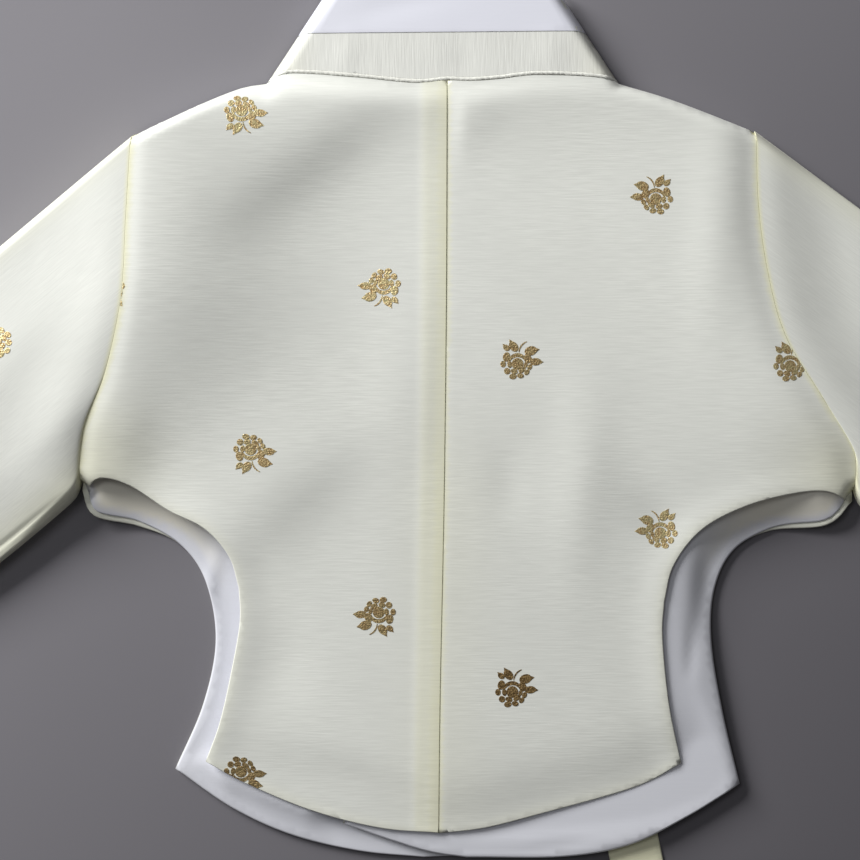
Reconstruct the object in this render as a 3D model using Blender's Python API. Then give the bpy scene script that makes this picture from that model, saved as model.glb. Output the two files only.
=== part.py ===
"""A young child's hanbok jacket (jeogori), laid flat, face down, with its back up.

The wearer's left is at -X, the collar at +Y and the back faces +Z. The outer front lies lowest, the inner
front lies over it, and the back lies over both. The origin is on the flat underside, on the centre-back line.
Every table is in millimetres.
"""
import math

import bpy
import numpy as np
from mathutils import Vector
from mathutils.geometry import delaunay_2d_cdt

MM = 0.001

# Cloth and gaps
SHELL = 1.0            # wall of a front shell, a lining, the white collar strip and a tie
BACK_WALL = 1.2        # wall of the back, the sleeves and the collar band
GAP = 0.3              # clearance between two pieces, at a seam or face to face
LAYER = SHELL + GAP    # one layer of cloth and the gap above it
SLEEVE_GAP = 0.8       # clearance along the curved armhole seam

# Levels of the cloth above the surface
FOLDED_EDGE = 4.1      # top of the back where it folds over to the front
HEM_LEVEL = 8.8        # top of the back at its hem and vents
CHEST_RISE = 7.0       # how much higher it is at the chest
UNDERARM_RISE = 6.5    # how much higher again it is beside the underarms
COLLAR_LEVEL = 9.4     # top of the collar band behind the neck
SEAM_DIP = 3.0         # depth of the trough along an armhole seam
ROLL = 9.0             # reach of a folded edge's rounding
CHEST_Y = 45.0         # height on the body of the chest's rise, and how far it spreads
CHEST_REACH = 95.0
UNDERARM_PART = 0.86   # place of the underarm's rise, as a part of the way to the armhole's foot
UNDERARM_Y = 12.0
UNDERARM_REACH = 46.0
SEAM_REACH = 13.0      # half width of the trough along an armhole seam
STEEPEST_WALL = 1.35   # most that a wall is thickened upwards where the cloth is steep

# Collar: a straight band, folded over at each side of the neck
COLLAR_WIDTH = 38.0
WHITE_WIDTH = 18.0
WELT_WIDTH = 1.9
NECK_HALF = 74.0
NECK_Y = 157.0
COLLAR_FALL = math.radians(66.6)      # how steeply each front stretch runs down from level
COLLAR_OUTER_LENGTH = 160.0
COLLAR_INNER_LENGTH = 150.0
WHITE_SHORT_OF_END = 36.0             # the white strip ends about its own band's width early
DRAPE_START = 7.5                     # the front band starts to rise this far short of the white strip
DRAPE_END = 1.5                       # and is clear of it this far short
WELT_RISE = 0.7                       # how far the welt stands above the collar
COLLAR_COLUMNS = 14                   # points along each long edge of a front stretch
LOW_CORNER = (3.0, 0.45)              # its edges start so far along, and so much further per mm across
HIGH_CORNER = (-18.0, 0.45)
FOLD_POINTS = 5                       # points down each slanting fold
FOLD_ROWS = (0.0, 0.8, 2.2, 4.5)      # distances from the slanting fold of the rows that round it
MIDDLE_COLUMNS = 3                    # points between them behind the neck

# Sleeves: length along the top edge, width of the open cuff, and how steeply the top edge falls
SLEEVE_LENGTH = 246.0
CUFF_WIDTH = 88.0
CUFF_LEVEL = 9.5
SLEEVE_LEVEL = 19.0
SLEEVE_EDGE = 3.6
SLEEVE_SWELL = 4.0                    # how far the lower edge swells past a straight line, and which way
SWELL_WAY = (0.5, 0.86)
SLEEVE_FADE = 1.3                     # how fast the sleeve grows flat towards the cuff
SLEEVE_ROUND = 0.55                   # how full its section is: 1 is a half sine, 0 a box
SLEEVE_BLEND = 0.13                   # part of its length in which it leaves the back's level
SLEEVE_TOP_WIDTH = 150.0              # width at the armhole
SLEEVE_HEIGHT = 1.5                   # least height of the upper side over the lower side's edge
RING_SPREAD = 1.25                    # above 1 sets the rings closer towards the armhole
EDGE_WALL = 0.4                       # part of the half turn in which the wall reaches its full thickness
EDGE_LIFT = 0.45                      # part of the half turn in which the underside comes down flat
SLEEVE_FALL = {"left": 39.6, "right": 36.5}
SLEEVE_CUFF_TURN = {"left": 53.6, "right": 52.0}

# Ties
TIE_WIDTH = 22.0

# Mesh
GRID = 14.0
EDGE_STEP = 11.0
ROW_CLEARANCE = 0.5    # least distance of a grid point from a row or an edge, as a part of GRID
LIP_STEP = 8.0
FOLD_RANKS = (3.0, 8.0)               # rows of points this far inside a folded edge
SEAM_RANK = 9.0                       # and this far inside an armhole seam
LEAST_EDGE = 0.2                      # shorter edges of an outline are dropped
PROBE = 0.5                           # reach of a slope's measure
SLEEVE_RINGS = 12
SLEEVE_HALF_TURN = 12

# Edge curves of the two sides, x and y, each a smooth curve through its points
EDGES = {
    "left": {
        "shoulder": [(-74, 157), (-85, 155), (-103, 147), (-128, 135)],
        "armhole": [(-128, 135), (-130, 99), (-132, 66), (-139, 35), (-148, 13), (-151.5, -11)],
        "back_lip": [(-148.5, -13.2), (-142, -8.5), (-130, -11.6), (-114, -22), (-99, -29.5), (-89, -41),
                     (-85, -54)],
        "back_vent": [(-85, -54), (-84.6, -68), (-88, -88), (-93, -110), (-99.2, -127)],
        "back_hem": [(-99.2, -127), (-83, -136), (-55, -147.6), (-26, -155), (-0.15, -157)],
        "front_vent": [(-151, -14), (-146, -24.5), (-128, -29), (-111, -36.5), (-100, -52), (-95.7, -77),
                       (-101, -104), (-112.6, -131)],
        "front_hem": [(-112.6, -131), (-88.6, -147.6), (-63.5, -159), (-35, -165.7), (-8, -168.3)],
        "overlap_hem": [(-8, -168.3), (15, -166.5), (36, -160)],
        "front_edge": [(23, 9), (28, -60), (36, -160)],
    },
    "right": {
        "shoulder": [(74, 157), (97, 150), (130.8, 137)],
        "armhole": [(130.8, 137), (131.7, 105), (135.7, 76), (143, 50), (158, 25), (171, 4), (172.2, -14)],
        "back_lip": [(169.6, -18.4), (160, -14.2), (146, -15), (126, -20.3), (108, -30), (96.3, -45),
                     (92.4, -60)],
        "back_vent": [(92.4, -60), (91.7, -75), (94.5, -103), (99.8, -128)],
        "back_hem": [(99.8, -128), (80.6, -138), (40, -149.4), (17.4, -155), (0.15, -157)],
        "front_vent": [(171.8, -18.4), (161, -28.5), (137.4, -31), (122.5, -39), (114.5, -55), (113, -77),
                       (117.5, -106), (124.8, -137)],
        "front_hem": [(124.8, -137), (102, -151), (78, -162.7), (50, -167.6), (10, -167.8)],
        "overlap_hem": [(10, -167.8), (-5, -165.6), (-22, -160.5), (-42, -153.5)],
        "front_edge": [(-20.4, 34.4), (-30, -60), (-42, -153.5)],
    },
}
SIDE = {"left": -1.0, "right": 1.0}
NECK = {"left": (-NECK_HALF, NECK_Y), "right": (NECK_HALF, NECK_Y)}
OVERLAP_TOP = {"left": 128.0, "right": 114.0}      # how far along the collar its seam meets the overlap's
OVERLAP_SLOPE = 10.0                # the overlap meets the collar's end this far short of its neck edge
LINING_INSET = 2.0                  # how far a lining stops short of its front's edge

# Centre lines of the ties
TIES = {
    "tie_long": [(19, 42), (36, 26), (50, -16), (66, -98), (80, -162), (103, -270)],
    "tie_short": [(65, 36), (74, -5), (90, -84), (101, -135)],
}

# Linear colours and roughness of each material
FINISHES = {
    "shell_silk": ((0.72, 0.72, 0.64), 0.55),
    "lining_satin": ((0.80, 0.80, 0.86), 0.40),
    "collar_silk": ((0.70, 0.70, 0.63), 0.55),
    "white_strip": ((0.86, 0.86, 0.90), 0.50),
}


# ---------------------------------------------------------------- curves in plan

def smooth_curve(points, step):
    """Points about step apart on the Catmull-Rom curve through the given points."""
    knots = np.array(points, float)
    padded = np.vstack([2 * knots[0] - knots[1], knots, 2 * knots[-1] - knots[-2]])
    curve = []
    for index in range(len(knots) - 1):
        before, start, end, after = padded[index:index + 4]
        count = max(1, int(round(np.linalg.norm(end - start) / step)))
        for number in range(count):
            t = number / count
            curve.append(0.5 * (2 * start + (end - before) * t
                                + (2 * before - 5 * start + 4 * end - after) * t ** 2
                                + (3 * start - before - 3 * end + after) * t ** 3))
    curve.append(knots[-1])
    return np.array(curve)


def shifted(curve, distance):
    """The curve moved sideways, to the left of its direction for a positive distance."""
    along = np.gradient(curve, axis=0)
    along /= np.linalg.norm(along, axis=1)[:, None]
    return curve + distance * np.column_stack([-along[:, 1], along[:, 0]])


def distance_to(curve, x, y):
    """The distance from a point to a polyline."""
    point = np.array([x, y])
    start, span = curve[:-1], np.diff(curve, axis=0)
    part = np.clip(((point - start) * span).sum(1) / (span ** 2).sum(1), 0, 1)
    return float(np.sqrt(((start + part[:, None] * span - point) ** 2).sum(1)).min())


def side_of(curve, x, y):
    """The signed distance to a polyline, positive on the left of its direction."""
    point = np.array([x, y])
    start, span = curve[:-1], np.diff(curve, axis=0)
    part = np.clip(((point - start) * span).sum(1) / (span ** 2).sum(1), 0, 1)
    away = np.hypot(*(point - (start + part[:, None] * span)).T)
    square = (span[:, 0] * (y - start[:, 1]) - span[:, 1] * (x - start[:, 0])) / np.hypot(*span.T)
    nearest = away < away.min() + 1e-6
    return math.copysign(float(away.min()), max(square[nearest], key=abs))


def inside(outline, x, y):
    """Whether a point is inside a closed outline."""
    crossings = False
    previous = outline[-1]
    for corner in outline:
        if (corner[1] > y) != (previous[1] > y):
            cut = (previous[0] - corner[0]) * (y - corner[1]) / (previous[1] - corner[1]) + corner[0]
            crossings ^= x < cut
        previous = corner
    return crossings


def smoothstep(value):
    """0 below 0, 1 above 1, and a smooth rise between."""
    value = min(max(value, 0.0), 1.0)
    return value * value * (3 - 2 * value)


def edge(side, name, step=EDGE_STEP):
    """One named edge curve of a side."""
    return smooth_curve(EDGES[side][name], step)


def collar_point(side, along, across):
    """A point of a front stretch of the collar, by its distances along and across the band."""
    toward_centre = -SIDE[side]
    run = np.array([toward_centre * math.cos(COLLAR_FALL), -math.sin(COLLAR_FALL)])
    width = np.array([toward_centre * math.sin(COLLAR_FALL), math.cos(COLLAR_FALL)])
    return np.array(NECK[side]) + along * run + across * width


def fold_point(side, across):
    """A point of the collar's slanting fold, by its distance across the band."""
    slant = math.pi / 2 - COLLAR_FALL / 2
    rise = across / math.sin(slant)
    return np.array(NECK[side]) + rise * np.array([-SIDE[side] * math.cos(slant), math.sin(slant)])


def fold_line(side):
    """The collar's slanting fold as a polyline."""
    return np.array([fold_point(side, -2.0), fold_point(side, COLLAR_WIDTH + 2.0)])


# ---------------------------------------------------------------- levels of the cloth

def rolled(distance):
    """The rounding of a folded edge: 0 at the fold, 1 from ROLL inwards."""
    short = 1 - min(distance / ROLL, 1.0)
    return math.sqrt(max(0.0, 1 - short * short))


FOLDS = {
    side: [edge(side, "shoulder"), np.array([EDGES[side]["armhole"][-1], EDGES[side]["back_lip"][0]])]
    for side in SIDE
}
ARMHOLES = {side: edge(side, "armhole") for side in SIDE}


def back_level(x, y):
    """The top of the back panel."""
    side = "left" if x < 0 else "right"
    underarm = EDGES[side]["armhole"][-1]
    level = HEM_LEVEL + CHEST_RISE * math.exp(-((y - CHEST_Y) / CHEST_REACH) ** 2)
    away = math.hypot(x - UNDERARM_PART * underarm[0], y - UNDERARM_Y)
    level += UNDERARM_RISE * math.exp(-(away / UNDERARM_REACH) ** 2)
    level -= SEAM_DIP * math.exp(-(distance_to(ARMHOLES[side], x, y) / SEAM_REACH) ** 2)
    fold = min(distance_to(line, x, y) for line in FOLDS[side])
    return FOLDED_EDGE + (level - FOLDED_EDGE) * rolled(fold)


def collar_level(x, y):
    """The top of the collar band behind the neck."""
    fold = min(distance_to(fold_line(side), x, y) for side in SIDE)
    return FOLDED_EDGE + (COLLAR_LEVEL - FOLDED_EDGE) * rolled(fold)


# The inner front lies on the outer front and the ties up to this line, and comes down just past it
STEP_NEAR = 1.0
STEP_FAR = 14.0
STEP_LINE = smooth_curve([collar_point("left", -34, COLLAR_WIDTH), collar_point("left", 30, COLLAR_WIDTH),
                          collar_point("left", 90, COLLAR_WIDTH), (24, 62), (50, 54), (71, 44), (82, 20),
                          (90, -14), (105, -82), (118, -142), (127, -190)], EDGE_STEP)
STEP_ROWS = [shifted(STEP_LINE, reach) for reach in (STEP_NEAR, STEP_FAR)]


def inner_base(x, y):
    """How far the inner front is held up by the outer front and by the ties."""
    past = (side_of(STEP_LINE, x, y) - STEP_NEAR) / (STEP_FAR - STEP_NEAR)
    return (2 * LAYER + GAP) * (1 - min(max(past, 0.0), 1.0))


def collar_drape(side, x, y):
    """How far a front stretch of the collar is held up by the white strip that lies under it."""
    away = np.array([x, y]) - np.array(NECK[side])
    across = float(away @ (collar_point(side, 0, 1) - np.array(NECK[side])))
    part = (across - (COLLAR_WIDTH - WHITE_WIDTH - DRAPE_START)) / (DRAPE_START - DRAPE_END)
    return (LAYER + GAP) * min(max(part, 0.0), 1.0)


# ---------------------------------------------------------------- meshes

def add_piece(name, finish, points, faces):
    """Makes one closed piece from points in millimetres."""
    mesh = bpy.data.meshes.new(name)
    mesh.from_pydata([Vector(point) * MM for point in points], [], faces)
    mesh.validate()
    mesh.shade_smooth()
    mesh.set_sharp_from_angle(angle=math.radians(40))
    mesh.materials.append(MATERIALS[finish])
    piece = bpy.data.objects.new(name, mesh)
    bpy.context.scene.collection.objects.link(piece)
    return piece


def triangulated(outline, rows=()):
    """Plan points and triangles that fill an outline, with edges along each given row of points."""
    points = [Vector(corner) for corner in outline]
    joints = [(index, (index + 1) % len(outline)) for index in range(len(outline))]
    closed = np.vstack([outline, outline[:1]])
    kept = []
    for row in rows:
        within = [inside(outline, x, y) for x, y in row]
        for here in range(len(row) - 1):
            if within[here] or within[here + 1]:
                points += [Vector(row[here]), Vector(row[here + 1])]
                joints.append((len(points) - 2, len(points) - 1))
                kept.append(np.array(row[here:here + 2], float))
    low, high = outline.min(0), outline.max(0)
    for line, y in enumerate(np.arange(low[1], high[1], GRID * math.sqrt(3) / 2)):
        for x in np.arange(low[0] + (line % 2) * GRID / 2, high[0], GRID):
            clear = all(distance_to(segment, x, y) > ROW_CLEARANCE * GRID for segment in kept)
            if clear and inside(outline, x, y) and distance_to(closed, x, y) > ROW_CLEARANCE * GRID:
                points.append(Vector((x, y)))
    plan, _, triangles, _, _, _ = delaunay_2d_cdt(points, joints, [], 1, 1e-3)
    middles = [sum((plan[index] for index in face), Vector((0, 0))) / 3 for face in triangles]
    triangles = [face for face, middle in zip(triangles, middles) if inside(outline, *middle)]
    used = sorted({index for face in triangles for index in face})
    place = {index: number for number, index in enumerate(used)}
    faces = [tuple(place[index] for index in face) for face in triangles]
    return [tuple(plan[index]) for index in used], faces


def panel(name, finish, outline, low, high, rows=()):
    """Makes a wall of cloth that fills an outline between two level functions of x and y."""
    outline = np.array(outline, float)
    keep = np.linalg.norm(outline - np.roll(outline, 1, axis=0), axis=1) > LEAST_EDGE
    plan, triangles = triangulated(outline[keep], rows)
    count = len(plan)
    upper = [(x, y, high(x, y)) for x, y in plan]
    lower = [(x, y, low(x, y)) for x, y in plan]
    faces, rim = [], {}
    for a, b, c in triangles:
        (ax, ay), (bx, by), (cx, cy) = plan[a], plan[b], plan[c]
        if (bx - ax) * (cy - ay) - (by - ay) * (cx - ax) < 0:
            b, c = c, b
        faces += [(a, b, c), (count + a, count + c, count + b)]
        for pair in ((a, b), (b, c), (c, a)):
            rim[pair] = rim.get(pair, 0) + 1
    for a, b in rim:
        if (b, a) not in rim:
            faces.append((b, a, count + a, count + b))
    return add_piece(name, finish, upper + lower, faces)


def below(level, wall):
    """A level function one wall under another, measured square to the cloth."""
    def lower(x, y):
        rise_x = level(x + PROBE, y) - level(x - PROBE, y)
        rise_y = level(x, y + PROBE) - level(x, y - PROBE)
        steepness = math.hypot(1.0, math.hypot(rise_x, rise_y) / (2 * PROBE))
        return level(x, y) - wall * min(STEEPEST_WALL, steepness)
    return lower


def flat(level):
    """A constant level function."""
    return lambda x, y: level


def raised(base, amount):
    """A level function a fixed amount over another."""
    return lambda x, y: base(x, y) + amount


def joined(*curves):
    """One outline from curves laid end to end."""
    return np.vstack(curves)


def rings_to_tube(name, finish, outer, inner):
    """Makes an open tube with a wall from matching lists of outer and inner rings."""
    turn = len(outer[0])
    points = [point for ring in outer for point in ring] + [point for ring in inner for point in ring]
    inner_start = len(outer) * turn
    faces = []
    for ring in range(len(outer) - 1):
        for spoke in range(turn):
            a = ring * turn + spoke
            b = ring * turn + (spoke + 1) % turn
            faces.append((a, b, b + turn, a + turn))
            faces.append((inner_start + a, inner_start + a + turn, inner_start + b + turn, inner_start + b))
    last = (len(outer) - 1) * turn
    for spoke in range(turn):
        after = (spoke + 1) % turn
        faces.append((spoke, inner_start + spoke, inner_start + after, after))
        faces.append((last + after, inner_start + last + after, inner_start + last + spoke, last + spoke))
    return add_piece(name, finish, points, faces)


# ---------------------------------------------------------------- pieces

def back(side):
    """One half of the back, from the centre seam to the armhole."""
    centre = SIDE[side] * GAP / 2
    seam = smooth_curve([(centre, EDGES[side]["back_hem"][-1][1]), (centre, NECK_Y)], EDGE_STEP)
    neckline = smooth_curve([(centre, NECK_Y), EDGES[side]["shoulder"][0]], EDGE_STEP)
    outline = joined(neckline[:-1], edge(side, "shoulder"), edge(side, "armhole")[1:],
                     edge(side, "back_lip", LIP_STEP), edge(side, "back_vent")[1:],
                     edge(side, "back_hem")[1:-1], seam[:-1])
    rows = [shifted(edge(side, "shoulder"), -SIDE[side] * reach) for reach in FOLD_RANKS]
    rows.append(shifted(ARMHOLES[side], -SIDE[side] * SEAM_RANK))
    panel("back_" + side, "shell_silk", outline, below(back_level, BACK_WALL), back_level, rows)


def sleeve(side):
    """A sleeve as a hollow tube, flat where it lies and open at the armhole and the cuff."""
    out = SIDE[side]
    armhole = smooth_curve(EDGES[side]["armhole"], 1.0)
    armhole = shifted(armhole, out * SLEEVE_GAP)
    fall, turn = math.radians(SLEEVE_FALL[side]), math.radians(SLEEVE_CUFF_TURN[side])
    top = np.array([out * math.cos(fall), -math.sin(fall)])
    cuff_start = armhole[0] + SLEEVE_LENGTH * top
    cuff_end = cuff_start + CUFF_WIDTH * np.array([-out * math.cos(turn), -math.sin(turn)])

    def place(along, across):
        at_armhole = armhole[int(round(across * (len(armhole) - 1)))]
        at_cuff = (1 - across) * cuff_start + across * cuff_end
        swell = SLEEVE_SWELL * across * math.sin(math.pi * along)
        way = np.array([-SWELL_WAY[0] * out, -SWELL_WAY[1]])
        return (1 - along) * at_armhole + along * at_cuff + swell * way

    def level(along, across):
        x, y = place(0.0, across)
        at_seam = back_level(x - SLEEVE_GAP * out, y)
        peak = SLEEVE_LEVEL + (CUFF_LEVEL - SLEEVE_LEVEL) * along ** SLEEVE_FADE
        crown = SLEEVE_EDGE + (peak - SLEEVE_EDGE) * math.sin(math.pi * across) ** SLEEVE_ROUND
        return at_seam + (crown - at_seam) * smoothstep(along / SLEEVE_BLEND)

    outer, inner = [], []
    for ring in range(SLEEVE_RINGS):
        along = (ring / (SLEEVE_RINGS - 1)) ** RING_SPREAD
        outer_ring, inner_ring = [], []
        for spoke in range(2 * SLEEVE_HALF_TURN):
            angle = math.pi * spoke / SLEEVE_HALF_TURN
            across = (1 - math.cos(angle)) / 2
            height = abs(math.sin(angle))
            x, y = place(along, across)
            width = SLEEVE_TOP_WIDTH + (CUFF_WIDTH - SLEEVE_TOP_WIDTH) * along
            inset_x, inset_y = place(along, 0.5 + (across - 0.5) * (1 - 2 * BACK_WALL / width))
            wall = BACK_WALL * min(1.0, height / EDGE_WALL)
            at_an_edge = spoke % SLEEVE_HALF_TURN == 0
            if at_an_edge:
                z = SLEEVE_EDGE
                inner_z = z
            elif spoke < SLEEVE_HALF_TURN:
                z = max(SLEEVE_EDGE + SLEEVE_HEIGHT * height, level(along, across))
                inner_z = z - wall
            else:
                z = SLEEVE_EDGE * max(0.0, 1 - height / EDGE_LIFT) ** 2
                inner_z = z + wall
            outer_ring.append((x, y, z))
            inner_ring.append((inset_x, inset_y, inner_z))
        outer.append(outer_ring)
        inner.append(inner_ring)
    if out < 0:
        outer = [ring[::-1] for ring in outer]
        inner = [ring[::-1] for ring in inner]
    rings_to_tube("sleeve_" + side, "shell_silk", outer, inner)


def front_seams(side):
    """The two seams of a front: along its collar down to the overlap's seam, and that seam itself."""
    top = collar_point(side, OVERLAP_TOP[side], -GAP)
    foot = np.array(EDGES[side]["overlap_hem"][0], float)
    return top, foot


def front(side, names, base, rows=()):
    """A front with its overlap gusset and its lining, on the level function of what lies under it."""
    out = SIDE[side]
    length = COLLAR_OUTER_LENGTH if side == "left" else COLLAR_INNER_LENGTH
    top, foot = front_seams(side)
    half = np.array([out * GAP / 2, 0])
    seam = smooth_curve([top, foot], EDGE_STEP)
    neck = collar_point(side, GAP, -GAP)
    outline = joined(edge(side, "shoulder")[1:], edge(side, "armhole")[1:], edge(side, "front_vent"),
                     edge(side, "front_hem")[1:-1], [foot + half], seam[::-1][1:] + half, [neck])
    panel(names[0], "shell_silk", outline, base, raised(base, SHELL), rows)

    outline = joined([collar_point(side, OVERLAP_TOP[side] + 2 * GAP, -GAP)], seam[1:] - half,
                     edge(side, "overlap_hem")[1:], edge(side, "front_edge")[::-1][1:-1],
                     [collar_point(side, length + GAP, COLLAR_WIDTH - OVERLAP_SLOPE),
                      collar_point(side, length + GAP, -GAP)])
    panel(names[1], "shell_silk", outline, base, raised(base, SHELL), rows)

    hem = joined(edge(side, "front_hem"), edge(side, "overlap_hem")[1:])
    hem = shifted(hem, -out * LINING_INSET)
    vent = shifted(edge(side, "front_vent"), -out * LINING_INSET)
    opening = shifted(edge(side, "front_edge"), out * LINING_INSET)
    outline = joined(edge(side, "shoulder")[1:], edge(side, "armhole")[1:], vent[1:-1], hem[1:-1],
                     opening[::-1][1:-1],
                     [collar_point(side, length + GAP, COLLAR_WIDTH - OVERLAP_SLOPE - LINING_INSET),
                      collar_point(side, length + GAP, -GAP), neck])
    panel(names[2], "lining_satin", outline, raised(base, LAYER), raised(base, LAYER + SHELL), rows)


def collar_front(side, names, length, base, rows=()):
    """A front stretch of the collar band, and the white strip along its neck edge."""
    white_start = COLLAR_WIDTH - WHITE_WIDTH

    def band(first, last, end):
        starts = [offset + slope * across for (offset, slope), across
                  in ((LOW_CORNER, first), (HIGH_CORNER, last))]
        low = [collar_point(side, along, first) for along in np.linspace(starts[0], end, COLLAR_COLUMNS)]
        high = [collar_point(side, along, last) for along in np.linspace(end, starts[1], COLLAR_COLUMNS)]
        top = [fold_point(side, across) for across in np.linspace(last, first, FOLD_POINTS)]
        return joined(low, high, top)

    def level(x, y):
        return base(x, y) + collar_drape(side, x, y)

    step_line = [[collar_point(side, along, across) for along in np.arange(-15, length, EDGE_STEP)]
                 for across in (white_start - DRAPE_START, white_start - DRAPE_END)]
    panel(names[0], "collar_silk", band(0, COLLAR_WIDTH, length), level, raised(level, BACK_WALL),
          list(rows) + step_line)
    panel(names[1], "white_strip", band(white_start, COLLAR_WIDTH, length - WHITE_SHORT_OF_END),
          base, raised(base, SHELL), rows)


def grid_panel(name, finish, rows, low, high):
    """Makes a wall of cloth over rows of plan points, each row with the same count."""
    across, along = len(rows), len(rows[0])
    plan = [point for row in rows for point in row]
    upper = [(x, y, high(x, y)) for x, y in plan]
    lower = [(x, y, low(x, y)) for x, y in plan]
    count = len(plan)
    faces = []
    for row in range(across - 1):
        for column in range(along - 1):
            a = row * along + column
            corners = (a, a + 1, a + along + 1, a + along)
            faces.append(corners)
            faces.append(tuple(count + corner for corner in reversed(corners)))
    ring = list(range(along)) + [row * along + along - 1 for row in range(1, across)]
    ring += [(across - 1) * along + column for column in range(along - 2, -1, -1)]
    ring += [row * along for row in range(across - 2, 0, -1)]
    for here, after in zip(ring, ring[1:] + ring[:1]):
        faces.append((after, here, count + here, count + after))
    return add_piece(name, finish, upper + lower, faces)


def collar_behind():
    """The stretch of the collar band behind the neck, its white strip and the welt along the neck seam."""
    slant = math.sin(math.pi / 2 - COLLAR_FALL / 2)
    reaches = np.array([*FOLD_ROWS, ROLL / slant])

    def strip(first, last, count):
        rows = []
        for across in np.linspace(first, last, count):
            left, right = fold_point("left", across), fold_point("right", across)
            middle = np.linspace(left[0] + reaches[-1], right[0] - reaches[-1], MIDDLE_COLUMNS + 2)[1:-1]
            columns = np.concatenate([left[0] + reaches, middle, (right[0] - reaches)[::-1]])
            rows.append([(x, left[1]) for x in columns])
        return rows

    welt_end = GAP + WELT_WIDTH
    wall, lift = below(collar_level, BACK_WALL), raised(collar_level, GAP)
    grid_panel("collar_welt", "collar_silk", strip(GAP, welt_end, 2), wall, raised(collar_level, WELT_RISE))
    grid_panel("collar_back", "collar_silk", strip(welt_end + GAP, COLLAR_WIDTH, 3), wall, collar_level)
    grid_panel("collar_white_back", "white_strip", strip(COLLAR_WIDTH - WHITE_WIDTH, COLLAR_WIDTH, 3),
               lift, raised(lift, SHELL))


def tie(name):
    """A tie: a flat strip along its centre line."""
    centre = smooth_curve(TIES[name], EDGE_STEP)
    rows = [shifted(centre, TIE_WIDTH / 2), shifted(centre, -TIE_WIDTH / 2)]
    rows = [[tuple(point) for point in row] for row in rows]
    grid_panel(name, "shell_silk", rows[::-1], flat(0.0), flat(SHELL))


def clear_scene():
    """Removes whatever the scene holds."""
    for thing in list(bpy.data.objects):
        bpy.data.objects.remove(thing, do_unlink=True)


def make_materials():
    """A plain material for each finish."""
    materials = {}
    for name, (colour, roughness) in FINISHES.items():
        material = bpy.data.materials.new(name)
        material.use_nodes = True
        shader = material.node_tree.nodes["Principled BSDF"]
        shader.inputs["Base Color"].default_value = (*colour, 1.0)
        shader.inputs["Roughness"].default_value = roughness
        materials[name] = material
    return materials


clear_scene()
MATERIALS = make_materials()
front("left", ("front_outer", "overlap_outer", "lining_outer"), flat(0.0))
front("right", ("front_inner", "overlap_inner", "lining_inner"), inner_base, STEP_ROWS)
collar_front("left", ("collar_outer", "collar_white_outer"), COLLAR_OUTER_LENGTH, flat(0.0))
collar_front("right", ("collar_inner", "collar_white_inner"), COLLAR_INNER_LENGTH, inner_base, STEP_ROWS)
collar_behind()
for each_side in SIDE:
    back(each_side)
    sleeve(each_side)
for each_tie in TIES:
    tie(each_tie)
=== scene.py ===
"""The finished look of a young child's hanbok jacket (jeogori), laid flat with its back up.

The wearer's left is at -X, the collar at +Y and the back faces +Z. Every size is in millimetres until a mesh
is made, and every curve in plan is a smooth line through the knots of the cut.
"""

import logging
import math
from dataclasses import dataclass, field
from enum import Enum
from typing import Callable, Optional, Sequence, Union

import bpy
import numpy as np
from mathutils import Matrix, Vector
from mathutils.bvhtree import BVHTree
from mathutils.geometry import delaunay_2d_cdt


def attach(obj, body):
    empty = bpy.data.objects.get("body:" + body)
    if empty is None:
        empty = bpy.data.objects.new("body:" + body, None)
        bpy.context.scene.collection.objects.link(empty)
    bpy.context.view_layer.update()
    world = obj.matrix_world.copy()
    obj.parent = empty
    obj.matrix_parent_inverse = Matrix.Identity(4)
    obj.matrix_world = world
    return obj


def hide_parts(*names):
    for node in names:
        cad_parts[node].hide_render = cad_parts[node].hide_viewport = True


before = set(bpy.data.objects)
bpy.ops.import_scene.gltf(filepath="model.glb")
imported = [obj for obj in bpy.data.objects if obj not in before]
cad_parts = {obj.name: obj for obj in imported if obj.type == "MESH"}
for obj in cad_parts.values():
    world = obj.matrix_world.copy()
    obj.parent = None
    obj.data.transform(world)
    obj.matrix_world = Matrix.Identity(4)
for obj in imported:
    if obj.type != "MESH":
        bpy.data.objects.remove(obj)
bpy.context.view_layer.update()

log = logging.getLogger("hanbok")
MM = 0.001
Plan = np.ndarray                          # points in plan, one row of x and y each
Level = Callable[[Plan], np.ndarray]       # a height, or a share from 0 to 1, for each point in plan
Line = Callable[[np.ndarray], np.ndarray]  # a line across the jacket, as the y at each x
Knots = Sequence[tuple[float, float]]
Colour = tuple[float, float, float]
Value = Union[float, Sequence[float], bpy.types.NodeSocket]    # what a node's input may be given
EDGE_STEP = 2.4                            # how far apart the points of a cut edge are
GUIDE_STEP = 4.0                           # the same for a line that levels are measured from
ON_EDGE = 0.001                            # nearer than this to an outline is on it


class Side(Enum):
    """The wearer's left or right, as the sign of X."""

    LEFT = -1
    RIGHT = 1

    @property
    def word(self) -> str:
        """The side's name as it stands in the names of pieces."""
        return self.name.lower()


class Slot(Enum):
    """The record's material slots."""

    SHELL = "shell_silk"
    COLLAR = "collar_silk"
    LINING = "lining_satin"
    WHITE = "white_strip"


# ---------------------------------------------------------------- the cut

@dataclass(frozen=True)
class SideCut:
    """The edges of one side of the jacket, and how its sleeve lies."""

    side: Side
    shoulder: Knots
    armhole: Knots
    back_lip: Knots
    back_vent: Knots
    back_hem: Knots
    front_vent: Knots
    front_hem: Knots
    overlap_hem: Knots
    front_edge: Knots
    overlap_top: float
    collar_length: float
    sleeve_fall: float
    cuff_turn: float


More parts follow.
